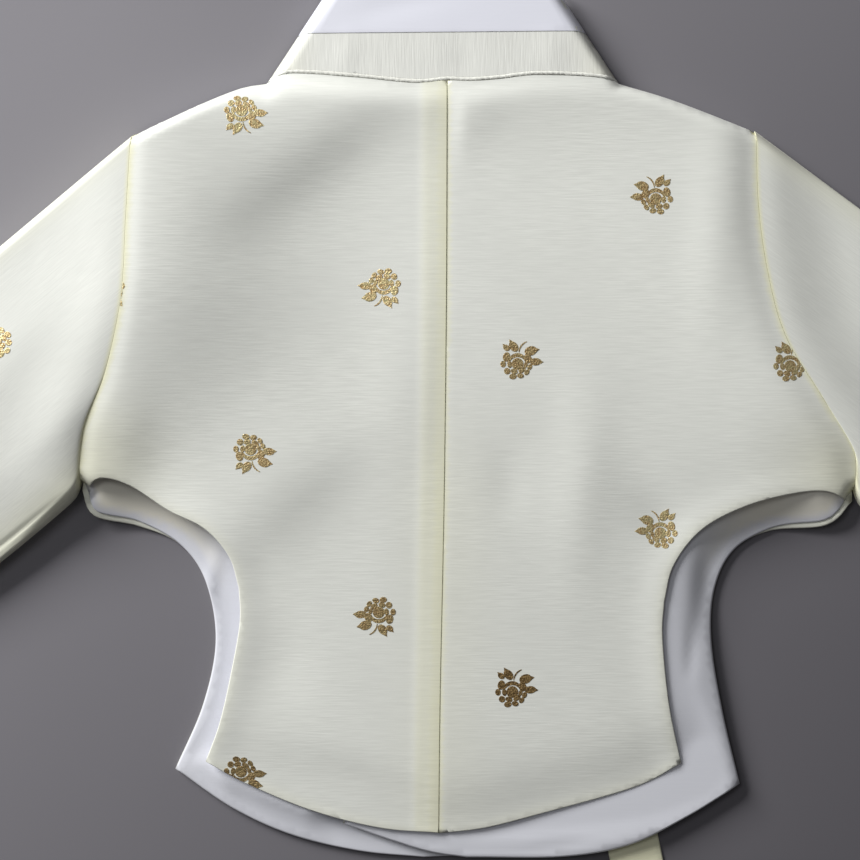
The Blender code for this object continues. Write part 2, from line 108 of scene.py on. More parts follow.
CUTS = {
    Side.LEFT: SideCut(
        side=Side.LEFT,
        shoulder=((-74, 157), (-85, 155), (-103, 147), (-128, 135)),
        armhole=((-128, 135), (-130, 99), (-132, 66), (-139, 35), (-148, 13), (-151.5, -11)),
        back_lip=((-148.5, -13.2), (-142, -8.5), (-130, -11.6), (-114, -22), (-99, -29.5), (-89, -41),
                  (-85, -54)),
        back_vent=((-85, -54), (-84.6, -68), (-88, -88), (-93, -110), (-99.2, -127)),
        back_hem=((-99.2, -127), (-83, -136), (-55, -147.6), (-26, -155), (0, -157)),
        front_vent=((-151, -14), (-146, -24.5), (-128, -29), (-111, -36.5), (-100, -52), (-95.7, -77),
                    (-101, -104), (-112.6, -131)),
        front_hem=((-112.6, -131), (-88.6, -147.6), (-63.5, -159), (-35, -165.7), (-8, -168.3)),
        overlap_hem=((-8, -168.3), (15, -166.5), (36, -160)),
        front_edge=((23, 9), (28, -60), (36, -160)),
        overlap_top=128.0, collar_length=160.0, sleeve_fall=39.6, cuff_turn=53.6,
    ),
    Side.RIGHT: SideCut(
        side=Side.RIGHT,
        shoulder=((74, 157), (97, 150), (130.8, 137)),
        armhole=((130.8, 137), (131.7, 105), (135.7, 76), (143, 50), (158, 25), (171, 4), (172.2, -14)),
        back_lip=((169.6, -18.4), (160, -14.2), (146, -15), (126, -20.3), (108, -30), (96.3, -45),
                  (92.4, -60)),
        back_vent=((92.4, -60), (91.7, -75), (94.5, -103), (99.8, -128)),
        back_hem=((99.8, -128), (80.6, -138), (40, -149.4), (17.4, -155), (0, -157)),
        front_vent=((171.8, -18.4), (161, -28.5), (137.4, -31), (122.5, -39), (114.5, -55), (113, -77),
                    (117.5, -106), (124.8, -137)),
        front_hem=((124.8, -137), (102, -151), (78, -162.7), (50, -167.6), (10, -167.8)),
        overlap_hem=((10, -167.8), (-5, -165.6), (-22, -160.5), (-42, -153.5)),
        front_edge=((-20.4, 34.4), (-30, -60), (-42, -153.5)),
        overlap_top=114.0, collar_length=150.0, sleeve_fall=36.5, cuff_turn=52.0,
    ),
}

# Layers, as the frame has them: one shell or lining, the back's wall, and the gap that parts two layers
SHELL = 1.0
BACK_WALL = 1.2
GAP = 0.3
LAYER = SHELL + GAP

# The wavy seam where the collar meets the back, and the centre-back seam, which leans a little
NECK_SEAM = ((-74, 157.2), (-63.8, 160.0), (-38.8, 158.6), (-11.7, 156.0), (1.3, 157.1), (11.3, 156.8),
             (23.8, 157.7), (39, 159.4), (61.3, 158.6), (74, 156.8))
CENTRE_SEAM = ((1.7, 157), (1.4, 70), (0.4, -20), (-1.2, -100), (-1.8, -157))

# Where the inner front comes down from the outer front and the ties that it lies on
STEP_KNOTS_LOW = ((24, 62), (50, 54), (71, 44), (82, 20), (90, -14), (105, -82), (118, -142), (127, -190))
STEP_NEAR = 1.0
STEP_FAR = 14.0


# ---------------------------------------------------------------- curves in plan

def smooth_curve(knots: Knots, step: float = EDGE_STEP) -> Plan:
    """A smooth line through knots.

    Args:
        knots: The points that the line passes through.
        step: About how far apart the line's own points are.

    Returns:
        The line's points, the first and last knot among them.
    """
    points = np.array(knots, float)
    padded = np.vstack([2 * points[0] - points[1], points, 2 * points[-1] - points[-2]])
    pieces = []
    for before, start, end, after in zip(padded, padded[1:], padded[2:], padded[3:]):
        count = max(1, int(round(np.linalg.norm(end - start) / step)))
        t = (np.arange(count) / count)[:, None]
        pieces.append(0.5 * (2 * start + (end - before) * t
                             + (2 * before - 5 * start + 4 * end - after) * t ** 2
                             + (3 * start - before - 3 * end + after) * t ** 3))
    return np.vstack([*pieces, points[-1:]])


def shifted(curve: Plan, distance: Union[float, np.ndarray]) -> Plan:
    """A line moved sideways, to the left of its direction for a positive distance."""
    along = np.gradient(curve, axis=0)
    along /= np.linalg.norm(along, axis=1)[:, None]
    return curve + distance * np.column_stack([-along[:, 1], along[:, 0]])


def nearest_on(curve: Plan, plan: Plan) -> tuple[np.ndarray, np.ndarray]:
    """How far points are from a line.

    Args:
        curve: The line's points.
        plan: The points to measure from.

    Returns:
        The distance of each point, and the same with a sign: positive on the left of the line's direction.
    """
    start, span = curve[:-1], np.diff(curve, axis=0)
    length = np.hypot(*span.T)
    best = np.full(len(plan), np.inf)
    signed = np.zeros(len(plan))
    for here, way, reach in zip(start, span, length):
        away = plan - here
        part = np.clip((away @ way) / reach ** 2, 0, 1)
        distance = np.hypot(*(away - part[:, None] * way).T)
        square = (way[0] * away[:, 1] - way[1] * away[:, 0]) / reach
        nearer = distance < best - 1e-6
        level = (abs(distance - best) <= 1e-6) & (abs(square) > abs(signed))
        signed = np.where(nearer | level, square, signed)
        best = np.minimum(best, distance)
    return best, np.copysign(best, signed)


def distance_to(curve: Plan, plan: Plan) -> np.ndarray:
    """The distance of each point from a line."""
    return nearest_on(curve, plan)[0]


def inside(outline: Plan, plan: Plan) -> np.ndarray:
    """Whether each point is inside a closed outline."""
    within = np.zeros(len(plan), bool)
    for start, end in zip(np.roll(outline, 1, axis=0), outline):
        crosses = (start[1] > plan[:, 1]) != (end[1] > plan[:, 1])
        rise = end[1] - start[1] or 1.0
        cut = (end[0] - start[0]) * (plan[:, 1] - start[1]) / rise + start[0]
        within ^= crosses & (plan[:, 0] < cut)
    return within


def smoothstep(value: np.ndarray) -> np.ndarray:
    """0 below 0, 1 above 1, and a smooth rise between."""
    value = np.clip(value, 0, 1)
    return value * value * (3 - 2 * value)


def bell(distance: np.ndarray, reach: float) -> np.ndarray:
    """A soft bump: 1 at no distance, about a third one reach away and nothing further off."""
    return np.exp(-(distance / reach) ** 2)


def rounded(distance: np.ndarray, reach: float) -> np.ndarray:
    """A quarter round: 0 at an edge, 1 from reach inwards."""
    short = 1 - np.clip(distance / reach, 0, 1)
    return np.sqrt(np.maximum(0, 1 - short * short))


def neck_seam(x: np.ndarray) -> np.ndarray:
    """The y of the neck seam at each x."""
    line = smooth_curve(NECK_SEAM, GUIDE_STEP)
    return np.interp(x, line[:, 0], line[:, 1])


def above_neck(*rises: float) -> Line:
    """The line that lies some distances up from the neck seam."""
    return lambda x: sum(rises, neck_seam(x))


def straight_across(y: float) -> Line:
    """A straight line across the jacket."""
    return lambda x: np.full(len(x), y)


# ---------------------------------------------------------------- creases and collar

@dataclass(frozen=True)
class Crease:
    """A soft ridge, or a trough where its height is negative."""

    x: float
    y: float
    turn: float
    length: float
    width: float
    height: float

    def measured(self, plan: Plan) -> tuple[np.ndarray, np.ndarray]:
        """How far points are from its middle, along it and across it."""
        turn = math.radians(self.turn)
        away = plan - (self.x, self.y)
        return away @ (math.cos(turn), math.sin(turn)), away @ (-math.sin(turn), math.cos(turn))

    def rise(self, plan: Plan) -> np.ndarray:
        """How much it raises the cloth at each point."""
        along, across = self.measured(plan)
        return self.height * np.exp(-(along / self.length) ** 2 - (across / self.width) ** 2)


@dataclass(frozen=True)
class Ledge(Crease):
    """A soft fall from higher cloth, on the left of its direction, to lower cloth on the right."""

    reach: float = 45.0

    def rise(self, plan: Plan) -> np.ndarray:
        """How much it raises the cloth at each point."""
        along, across = self.measured(plan)
        fade = np.exp(-(along / self.length) ** 2 - (np.maximum(across, 0) / self.reach) ** 2)
        return self.height * fade * (1 + np.tanh(across / self.width)) / 2


def total_rise(creases: Sequence[Crease], plan: Plan) -> np.ndarray:
    """How much creases together raise the cloth at each point."""
    return sum((crease.rise(plan) for crease in creases), np.zeros(len(plan)))


@dataclass(frozen=True)
class CollarCut:
    """The straight collar band, folded at each side of the neck."""

    width: float = 38.0
    white: float = 18.0
    neck_half: float = 74.0
    neck_y: float = 157.0
    fall: float = math.radians(66.6)

    def point(self, side: Side, along: float, across: float) -> np.ndarray:
        """A point of a front stretch, by its distances along and across the band."""
        run = np.array([-side.value * math.cos(self.fall), -math.sin(self.fall)])
        wide = np.array([-side.value * math.sin(self.fall), math.cos(self.fall)])
        return np.array([side.value * self.neck_half, self.neck_y]) + along * run + across * wide

    def fold(self, side: Side, across: float) -> np.ndarray:
        """A point of the slanting fold, by its distance across the band."""
        slant = math.pi / 2 - self.fall / 2
        rise = across / math.sin(slant)
        return (np.array([side.value * self.neck_half, self.neck_y])
                + rise * np.array([-side.value * math.cos(slant), math.sin(slant)]))


COLLAR = CollarCut()


# ---------------------------------------------------------------- sheets of cloth

def flat_level(height: float) -> Level:
    """The same height everywhere."""
    return lambda plan: np.full(len(plan), height)


def raised(level: Level, amount: float) -> Level:
    """A level a fixed amount higher."""
    return lambda plan: level(plan) + amount


def under(level: Level, wall: float) -> Level:
    """A level one wall lower, measured square to the cloth, and never through the floor."""
    probe = 0.4
    most = 1.8
    lowest = 0.15

    def lower(plan: Plan) -> np.ndarray:
        """The underside at each point."""
        rise_x = level(plan + (probe, 0)) - level(plan - (probe, 0))
        rise_y = level(plan + (0, probe)) - level(plan - (0, probe))
        steepness = np.hypot(1, np.hypot(rise_x, rise_y) / (2 * probe))
        return np.maximum(level(plan) - wall * np.minimum(most, steepness), lowest)
    return lower


@dataclass(frozen=True)
class Tones:
    """Where a sheet shows the warmth of doubled silk, and whether its underside is lining."""

    warm: Optional[Level] = None
    lined_below: bool = False


@dataclass
class Cloth:
    """A mesh of cloth in the making: points and places in its weave in millimetres, faces and two masks."""

    points: np.ndarray
    faces: list[tuple[int, ...]]
    weave: np.ndarray
    warm: np.ndarray
    inner: np.ndarray

    def make(self, name: str) -> bpy.types.Object:
        """Makes the object.

        Args:
            name: The piece's name.

        Returns:
            The new object, at the origin.
        """
        mesh = bpy.data.meshes.new(name)
        mesh.from_pydata((self.points * MM).tolist(), [], self.faces)
        mesh.validate()
        layer = mesh.uv_layers.new(name="weave")
        corners = np.zeros(len(mesh.loops), np.int32)
        mesh.loops.foreach_get("vertex_index", corners)
        layer.data.foreach_set("uv", (self.weave[corners] * MM).astype(np.float32).ravel())
        for label, values in (("warm", self.warm), ("inner", self.inner)):
            mask = mesh.attributes.new(label, "FLOAT", "POINT")
            mask.data.foreach_set("value", values.astype(np.float32))
        mesh.shade_smooth()
        piece = bpy.data.objects.new(name, mesh)
        bpy.context.scene.collection.objects.link(piece)
        return piece


@dataclass
class Panel:
    """A cut panel that lies nearly flat, with a soft rounded edge as wide as its rim.

    Rows of points follow the outline at the ranks, which are shares of the rim, and seams that are sewn stay
    as high as the cloth beside them.
    """

    outline: Plan
    top: Level
    bottom: Level
    step: float = 2.4
    rim: float = 0.7
    ranks: tuple[float, ...] = (0.25, 0.6, 1.0)
    grain: float = 0.0
    tones: Tones = field(default_factory=Tones)
    sewn: Sequence[Plan] = ()

    def ring(self) -> Plan:
        """The outline without doubled points, counter-clockwise."""
        outline = np.array(self.outline, float)
        outline = outline[np.linalg.norm(outline - np.roll(outline, 1, axis=0), axis=1) > 0.2]
        after = np.roll(outline, -1, axis=0)
        turn = np.sum(outline[:, 0] * after[:, 1] - after[:, 0] * outline[:, 1])
        return outline if turn > 0 else outline[::-1]

    def area(self) -> float:
        """The panel's area in square metres."""
        ring = self.ring()
        after = np.roll(ring, -1, axis=0)
        return float(np.sum(ring[:, 0] * after[:, 1] - after[:, 0] * ring[:, 1])) / 2 * MM * MM

    def along_grain(self, plan: Plan) -> Plan:
        """Points measured along the weft and the warp."""
        turn = math.radians(self.grain)
        return plan @ np.array([[math.cos(turn), -math.sin(turn)], [math.sin(turn), math.cos(turn)]])

    def size(self) -> tuple[float, float]:
        """The panel's width along its weft and its length along its warp, in metres."""
        outline = self.along_grain(self.outline)
        width, length = outline.max(0) - outline.min(0)
        return float(width) * MM, float(length) * MM

    def fill(self) -> tuple[Plan, list[tuple[int, int, int]]]:
        """Fills the outline with triangles, none of them with all its corners on the outline.

        Returns:
            The points and the triangles.
        """
        ring = self.ring()
        closed = np.vstack([ring, ring[:1]])
        ahead = np.roll(ring, -1, axis=0) - np.roll(ring, 1, axis=0)
        ahead /= np.linalg.norm(ahead, axis=1)[:, None]
        inward = np.column_stack([-ahead[:, 1], ahead[:, 0]])
        points = [ring]
        for part in self.ranks:
            rank = ring + inward * self.rim * part
            keep = inside(ring, rank) & (distance_to(closed, rank) > 0.85 * self.rim * part)
            points.append(rank[keep])
        low, high = ring.min(0), ring.max(0)
        row = self.step * math.sqrt(3) / 2
        across, up = np.meshgrid(np.arange(low[0], high[0], self.step), np.arange(low[1], high[1], row))
        across = across + (np.arange(len(across)) % 2)[:, None] * self.step / 2
        grid = np.column_stack([across.ravel(), up.ravel()])
        grid = grid[inside(ring, grid)]
        grid = grid[distance_to(closed, grid) > self.rim + 0.4 * self.step]
        points = np.vstack([*points, grid])
        edges = [(index, (index + 1) % len(ring)) for index in range(len(ring))]
        plan, _, triangles, origins, _, _ = delaunay_2d_cdt([Vector(p) for p in points], edges, [], 1, 1e-4)
        plan = np.array([tuple(p) for p in plan])
        faces = [face for face in triangles if len(face) == 3]
        middles = np.array([plan[list(face)].mean(0) for face in faces])
        kept = inside(ring, middles)
        on_edge = distance_to(closed, plan) < ON_EDGE
        split, added = [], []
        for (a, b, c), middle, used in zip(faces, middles, kept):
            if not used:
                continue
            if on_edge[a] and on_edge[b] and on_edge[c]:
                new = len(plan) + len(added)
                added.append(middle)
                split += [(a, b, new), (b, c, new), (c, a, new)]
            else:
                split.append((a, b, c))
        return np.vstack([plan, *added]), split

    def cloth(self) -> Cloth:
        """Gives the panel its two faces.

        Returns:
            The closed sheet, its top and bottom joined in a round along the outline.
        """
        plan, triangles = self.fill()
        count = len(plan)
        closed = np.vstack([self.ring(), self.ring()[:1]])
        depth = distance_to(closed, plan)
        share = rounded(depth, self.rim)
        for seam in self.sewn:
            share = np.maximum(share, 1 - smoothstep(distance_to(seam, plan) / self.rim - 1))
        edge = depth < ON_EDGE
        share[edge] = 0
        high, low = self.top(plan), self.bottom(plan)
        middle, half = (high + low) / 2, (high - low) / 2
        for seam in self.sewn:
            closed_up = edge & (distance_to(seam, plan) < 0.2)
            middle[closed_up] = high[closed_up] - 0.05
        lower = np.arange(count) + count
        lower[edge] = np.arange(count)[edge]
        upper_points = np.column_stack([plan, middle + half * share])
        lower_points = np.column_stack([plan, middle - half * share])
        faces = []
        for a, b, c in triangles:
            first, second = plan[b] - plan[a], plan[c] - plan[a]
            if first[0] * second[1] - first[1] * second[0] < 0:
                b, c = c, b
            faces.append((a, b, c))
            faces.append((int(lower[a]), int(lower[c]), int(lower[b])))
        weave = self.along_grain(plan)
        warm = self.tones.warm(plan) if self.tones.warm else np.zeros(count)
        inner = np.concatenate([np.zeros(count), np.full(count, float(self.tones.lined_below))])
        used = np.unique(np.array(faces))
        place = np.full(2 * count, -1)
        place[used] = np.arange(len(used))
        return Cloth(
            points=np.vstack([upper_points, lower_points])[used],
            faces=[tuple(place[list(face)].tolist()) for face in faces],
            weave=np.vstack([weave, weave])[used],
            warm=np.concatenate([warm, warm])[used],
            inner=inner[used],
        )


def joined(*curves: Plan) -> Plan:
    """One outline from lines laid end to end."""
    return np.vstack(curves)


# ---------------------------------------------------------------- finishes

def new_group(name: str, inputs: dict[str, str], outputs: dict[str, str]) -> bpy.types.NodeTree:
    """Starts a shader node group.

    Args:
        name: The group's name.
        inputs: The type of each input socket, by name.
        outputs: The type of each output socket, by name.

    Returns:
        The group, with its two end nodes named in and out.
    """
    group = bpy.data.node_groups.new(name, "ShaderNodeTree")
    for way, sockets in (("INPUT", inputs), ("OUTPUT", outputs)):
        for label, kind in sockets.items():
            group.interface.new_socket(name=label, in_out=way, socket_type="NodeSocket" + kind)
    group.nodes.new("NodeGroupInput").name = "in"
    group.nodes.new("NodeGroupOutput").name = "out"
    return group


@dataclass
class Wiring:
    """Short words for adding and joining nodes in one tree."""

    tree: bpy.types.NodeTree

    def add(self, kind: str, settings: Optional[dict] = None, **sockets: Value) -> bpy.types.Node:
        """Adds a node.

        Args:
            kind: The node's type, without the ShaderNode in front.
            settings: Values for the node's own properties.
            **sockets: A value or an output for each input, named with _ for a space, or i and a number.

        Returns:
            The node.
        """
        node = self.tree.nodes.new("ShaderNode" + kind)
        for label, value in (settings or {}).items():
            setattr(node, label, value)
        self.feed(node, **sockets)
        return node

    def feed(self, node: bpy.types.Node, **sockets: Value) -> None:
        """Gives a node's inputs their values, or joins outputs to them."""
        for label, value in sockets.items():
            numbered = label[0] == "i" and label[1:].isdigit()
            socket = node.inputs[int(label[1:])] if numbered else node.inputs[label.replace("_", " ")]
            if isinstance(value, bpy.types.NodeSocket):
                self.tree.links.new(value, socket)
            else:
                socket.default_value = value

    def noise(self, vector: bpy.types.NodeSocket, scale: Sequence[float],
              detail: float = 2.0) -> bpy.types.NodeSocket:
        """A noise pattern from 0 to 1, its scale in turns a metre along each axis."""
        placed = self.add("Mapping", Vector=vector, Scale=scale)
        return self.add("TexNoise", Vector=placed.outputs[0], Scale=1.0, Detail=detail).outputs["Fac"]

    def maths(self, operation: str, *values: Value, clamp: bool = False) -> bpy.types.NodeSocket:
        """The result of one sum."""
        sockets = {f"i{index}": value for index, value in enumerate(values)}
        return self.add("Math", {"operation": operation, "use_clamp": clamp}, **sockets).outputs[0]

    def spread(self, value: bpy.types.NodeSocket, low: float, high: float,
               to_low: float = 0.0, to_high: float = 1.0) -> bpy.types.NodeSocket:
        """A value stretched from one range to another, and held within it."""
        node = self.add("MapRange", Value=value, From_Min=low, From_Max=high, To_Min=to_low, To_Max=to_high)
        return node.outputs[0]

    def mix(self, share: Value, first: Value, second: Value, blend: str = "MIX") -> bpy.types.NodeSocket:
        """Two colours mixed."""
        node = self.add("Mix", {"data_type": "RGBA", "blend_type": blend}, i0=share, i6=first, i7=second)
        return node.outputs[2]


def new_material(name: str) -> tuple[bpy.types.Material, Wiring, bpy.types.Node]:
    """Starts a material.

    Args:
        name: The finish's name.

    Returns:
        The material, the wiring of its nodes, and its shader.
    """
    material = bpy.data.materials.new(name)
    material.use_nodes = True
    return material, Wiring(material.node_tree), material.node_tree.nodes["Principled BSDF"]


def slub_group() -> bpy.types.NodeTree:
    """Builds the slubbed weave: thick and thin threads that run along the weft.

    Returns:
        A group that gives a tone from 0 to 1 and a height from 0 to 1.
    """
    group = new_group("slubbed_weave", {"Weave": "Vector", "Patchiness": "Float"},
                      {"Tone": "Float", "Height": "Float"})
    wire = Wiring(group)
    start = group.nodes["in"]
    weave = start.outputs["Weave"]
    slubs = wire.noise(weave, (95, 1500, 1), 1.5)
    fine = wire.noise(weave, (300, 2900, 1), 1.0)
    warp = wire.noise(weave, (2600, 380, 1), 1.0)
    bands = wire.noise(weave, (45, 620, 1), 2.0)
    patches = wire.spread(wire.noise(weave, (22, 22, 1), 1.0), 0.35, 0.65)
    calm = wire.maths("SUBTRACT", 1.0, start.outputs["Patchiness"])
    share = wire.maths("MULTIPLY_ADD", patches, start.outputs["Patchiness"], calm)
    slubs = wire.maths("MULTIPLY", wire.spread(slubs, 0.30, 0.70), share)
    tone = wire.maths("MULTIPLY_ADD", slubs, 0.55, wire.maths("MULTIPLY", bands, 0.45))
    threads = wire.maths("MULTIPLY_ADD", fine, 0.6, wire.maths("MULTIPLY", warp, 0.4))
    height = wire.maths("MULTIPLY_ADD", slubs, 0.6, wire.maths("MULTIPLY", threads, 0.4))
    wire.feed(group.nodes["out"], Tone=tone, Height=height)
    return group


def tint_group() -> bpy.types.NodeTree:
    """Builds the tint of layered silk: neutral over one layer, warm where it is doubled or turned in.

    Returns:
        A group that gives the cloth's colour.
    """
    group = new_group("layered_tint", {"Place": "Vector", "Warmth": "Float", "Single": "Color",
                                       "Doubled": "Color", "Tone": "Float", "Contrast": "Float"},
                      {"Color": "Color"})
    wire = Wiring(group)
    start = group.nodes["in"]
    cloud = wire.noise(start.outputs["Place"], (16, 16, 16), 2.0)
    cloud = wire.spread(cloud, 0.3, 0.7, 0.85, 1.1)
    warmth = wire.maths("MULTIPLY", start.outputs["Warmth"], cloud, clamp=True)
    colour = wire.mix(warmth, start.outputs["Single"], start.outputs["Doubled"])
    centred = wire.maths("SUBTRACT", start.outputs["Tone"], 0.5)
    shade = wire.maths("MULTIPLY_ADD", centred, start.outputs["Contrast"], 1.0)
    grey = wire.add("CombineColor", Red=shade, Green=shade, Blue=shade).outputs[0]
    wire.feed(group.nodes["out"], Color=wire.mix(1.0, colour, grey, "MULTIPLY"))
    return group


@dataclass(frozen=True)
class SilkFinish:
    """A woven finish with its colours and how strongly its slubs show."""

    name: str
    single: Colour
    doubled: Colour
    lining: Colour = (0.78, 0.79, 0.85)
    contrast: float = 0.17
    patchiness: float = 0.5
    relief: float = 0.35
    rough: tuple[float, float] = (0.50, 0.62)
    sheen: float = 0.12
    across: bool = False

    def material(self, slubs: bpy.types.NodeTree, tint: bpy.types.NodeTree) -> bpy.types.Material:
        """Makes the material.

        Args:
            slubs: The slubbed weave.
            tint: The layered tint.

        Returns:
            The material.
        """
        material, wire, shader = new_material(self.name)
        weave = wire.add("UVMap", {"uv_map": "weave"}).outputs[0]
        if self.across:
            weave = wire.add("Mapping", Vector=weave, Rotation=(0, 0, math.pi / 2)).outputs[0]
        place = wire.add("TexCoord").outputs["Object"]
        warm = wire.add("Attribute", {"attribute_name": "warm"}).outputs["Fac"]
        inner = wire.add("Attribute", {"attribute_name": "inner"}).outputs["Fac"]
        cloth = wire.add("Group", {"node_tree": slubs}, Weave=weave, Patchiness=self.patchiness)
        colour = wire.add("Group", {"node_tree": tint}, Place=place, Warmth=warm, Single=(*self.single, 1),
                          Doubled=(*self.doubled, 1), Tone=cloth.outputs["Tone"], Contrast=self.contrast)
        colour = wire.mix(inner, colour.outputs[0], (*self.lining, 1))
        bump = wire.add("Bump", Strength=self.relief, Distance=0.0001, Height=cloth.outputs["Height"])
        rough = wire.spread(cloth.outputs["Tone"], 0.2, 0.8, *self.rough)
        wire.feed(shader, Base_Color=colour, Roughness=rough, Normal=bump.outputs[0], Sheen_Weight=self.sheen,
                  Sheen_Roughness=0.4, Specular_IOR_Level=0.3)
        return material


@dataclass(frozen=True)
class FoilFinish:
    """Gold foil pressed on the silk, crazed by the threads under it, its colour painted dark brown where it
    would reflect little light: painted reflection.
    """

    name: str = "gold_foil"
    bright: Colour = (0.98, 0.82, 0.46)
    deep: Colour = (0.55, 0.36, 0.16)
    green: Colour = (0.66, 0.58, 0.30)
    # dark and brown paint the foil where it would reflect little light: painted reflection
    dark: Colour = (0.16, 0.10, 0.04)
    brown: Colour = (0.50, 0.34, 0.15)

    def material(self, slubs: bpy.types.NodeTree) -> bpy.types.Material:
        """Makes the material.

        Args:
            slubs: The slubbed weave, pressed through the foil.

        Returns:
            The material.
        """
        material, wire, shader = new_material(self.name)
        place = wire.add("TexCoord").outputs["Object"]
        flecks = wire.spread(wire.noise(place, (1500, 1500, 1500), 2.0), 0.40, 0.62)
        patches = wire.spread(wire.noise(place, (420, 420, 420), 1.0), 0.42, 0.60)
        colour = wire.mix(patches, (*self.deep, 1), (*self.green, 1))
        colour = wire.mix(flecks, colour, (*self.bright, 1))
        # painted reflection: each flower is mixed from dark brown to bright gold by how much light its foil
        # would reflect
        painted_dark_foil = wire.mix(flecks, (*self.dark, 1), (*self.brown, 1))
        colour = wire.mix(wire.add("Attribute", {"attribute_name": "shine"}).outputs["Fac"], painted_dark_foil, colour)
        threads = wire.add("Group", {"node_tree": slubs}, Weave=place, Patchiness=0.0)
        height = wire.maths("MULTIPLY_ADD", flecks, 0.7, threads.outputs["Height"])
        bump = wire.add("Bump", Strength=1.0, Distance=0.0001, Height=height)
        wire.feed(shader, Base_Color=colour, Normal=bump.outputs[0], Metallic=0.8,
                  Roughness=wire.spread(flecks, 0, 1, 0.50, 0.38))
        return material


@dataclass
class Finishes:
    """All the jacket's materials, by slot, and the foil."""

    silk: dict[Slot, bpy.types.Material] = field(default_factory=dict)
    foil: Optional[bpy.types.Material] = None

    def make(self) -> None:
        """Makes the node groups and the materials."""
        slubs, tint = slub_group(), tint_group()
        recipes = {
            Slot.SHELL: SilkFinish("ivory_slub_silk", (0.75, 0.762, 0.718), (0.79, 0.78, 0.56)),
            Slot.COLLAR: SilkFinish("collar_slub_silk", (0.75, 0.757, 0.715), (0.75, 0.74, 0.61),
                                    contrast=0.2, relief=0.6, patchiness=0.3, across=True),
            # the lining's second colour is its facing under the arm, made lighter and warmer as painted
            # bounce light
            Slot.LINING: SilkFinish("white_lining", (0.665, 0.675, 0.73), (0.84, 0.81, 0.71),
                                    contrast=0.03, relief=0.12, rough=(0.36, 0.42), sheen=0.05),
            Slot.WHITE: SilkFinish("crisp_white_cotton", (0.75, 0.76, 0.84), (0.78, 0.78, 0.82),
                                   contrast=0.02, relief=0.12, rough=(0.45, 0.5), sheen=0.05),
        }
        self.silk = {slot: recipe.material(slubs, tint) for slot, recipe in recipes.items()}
        self.foil = FoilFinish().material(slubs)


# ---------------------------------------------------------------- fitting pieces to the frame

@dataclass
class Workroom:
    """Dresses each finished piece, fixes it to the frame and keeps the list of what was made."""

    finishes: Finishes
    pieces: dict[str, bpy.types.Object] = field(default_factory=dict)

    def fit(self, cloth: Cloth, node: str, slot: Slot) -> bpy.types.Object:
        """Makes a piece of cloth, gives it its finish and puts it in a node's place.

        Args:
            cloth: The finished mesh of cloth.
            node: The frame's node that it stands for.
            slot: The slot that it takes its finish from.

        Returns:
            The piece.
        """
        piece = cloth.make(node + "_cloth")
        piece.data.materials.append(self.finishes.silk[slot])
        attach(piece, "root")
        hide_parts(node)
        self.pieces[node] = piece
        log.info("%s: %d faces", piece.name, len(piece.data.polygons))
        return piece


# ---------------------------------------------------------------- the back

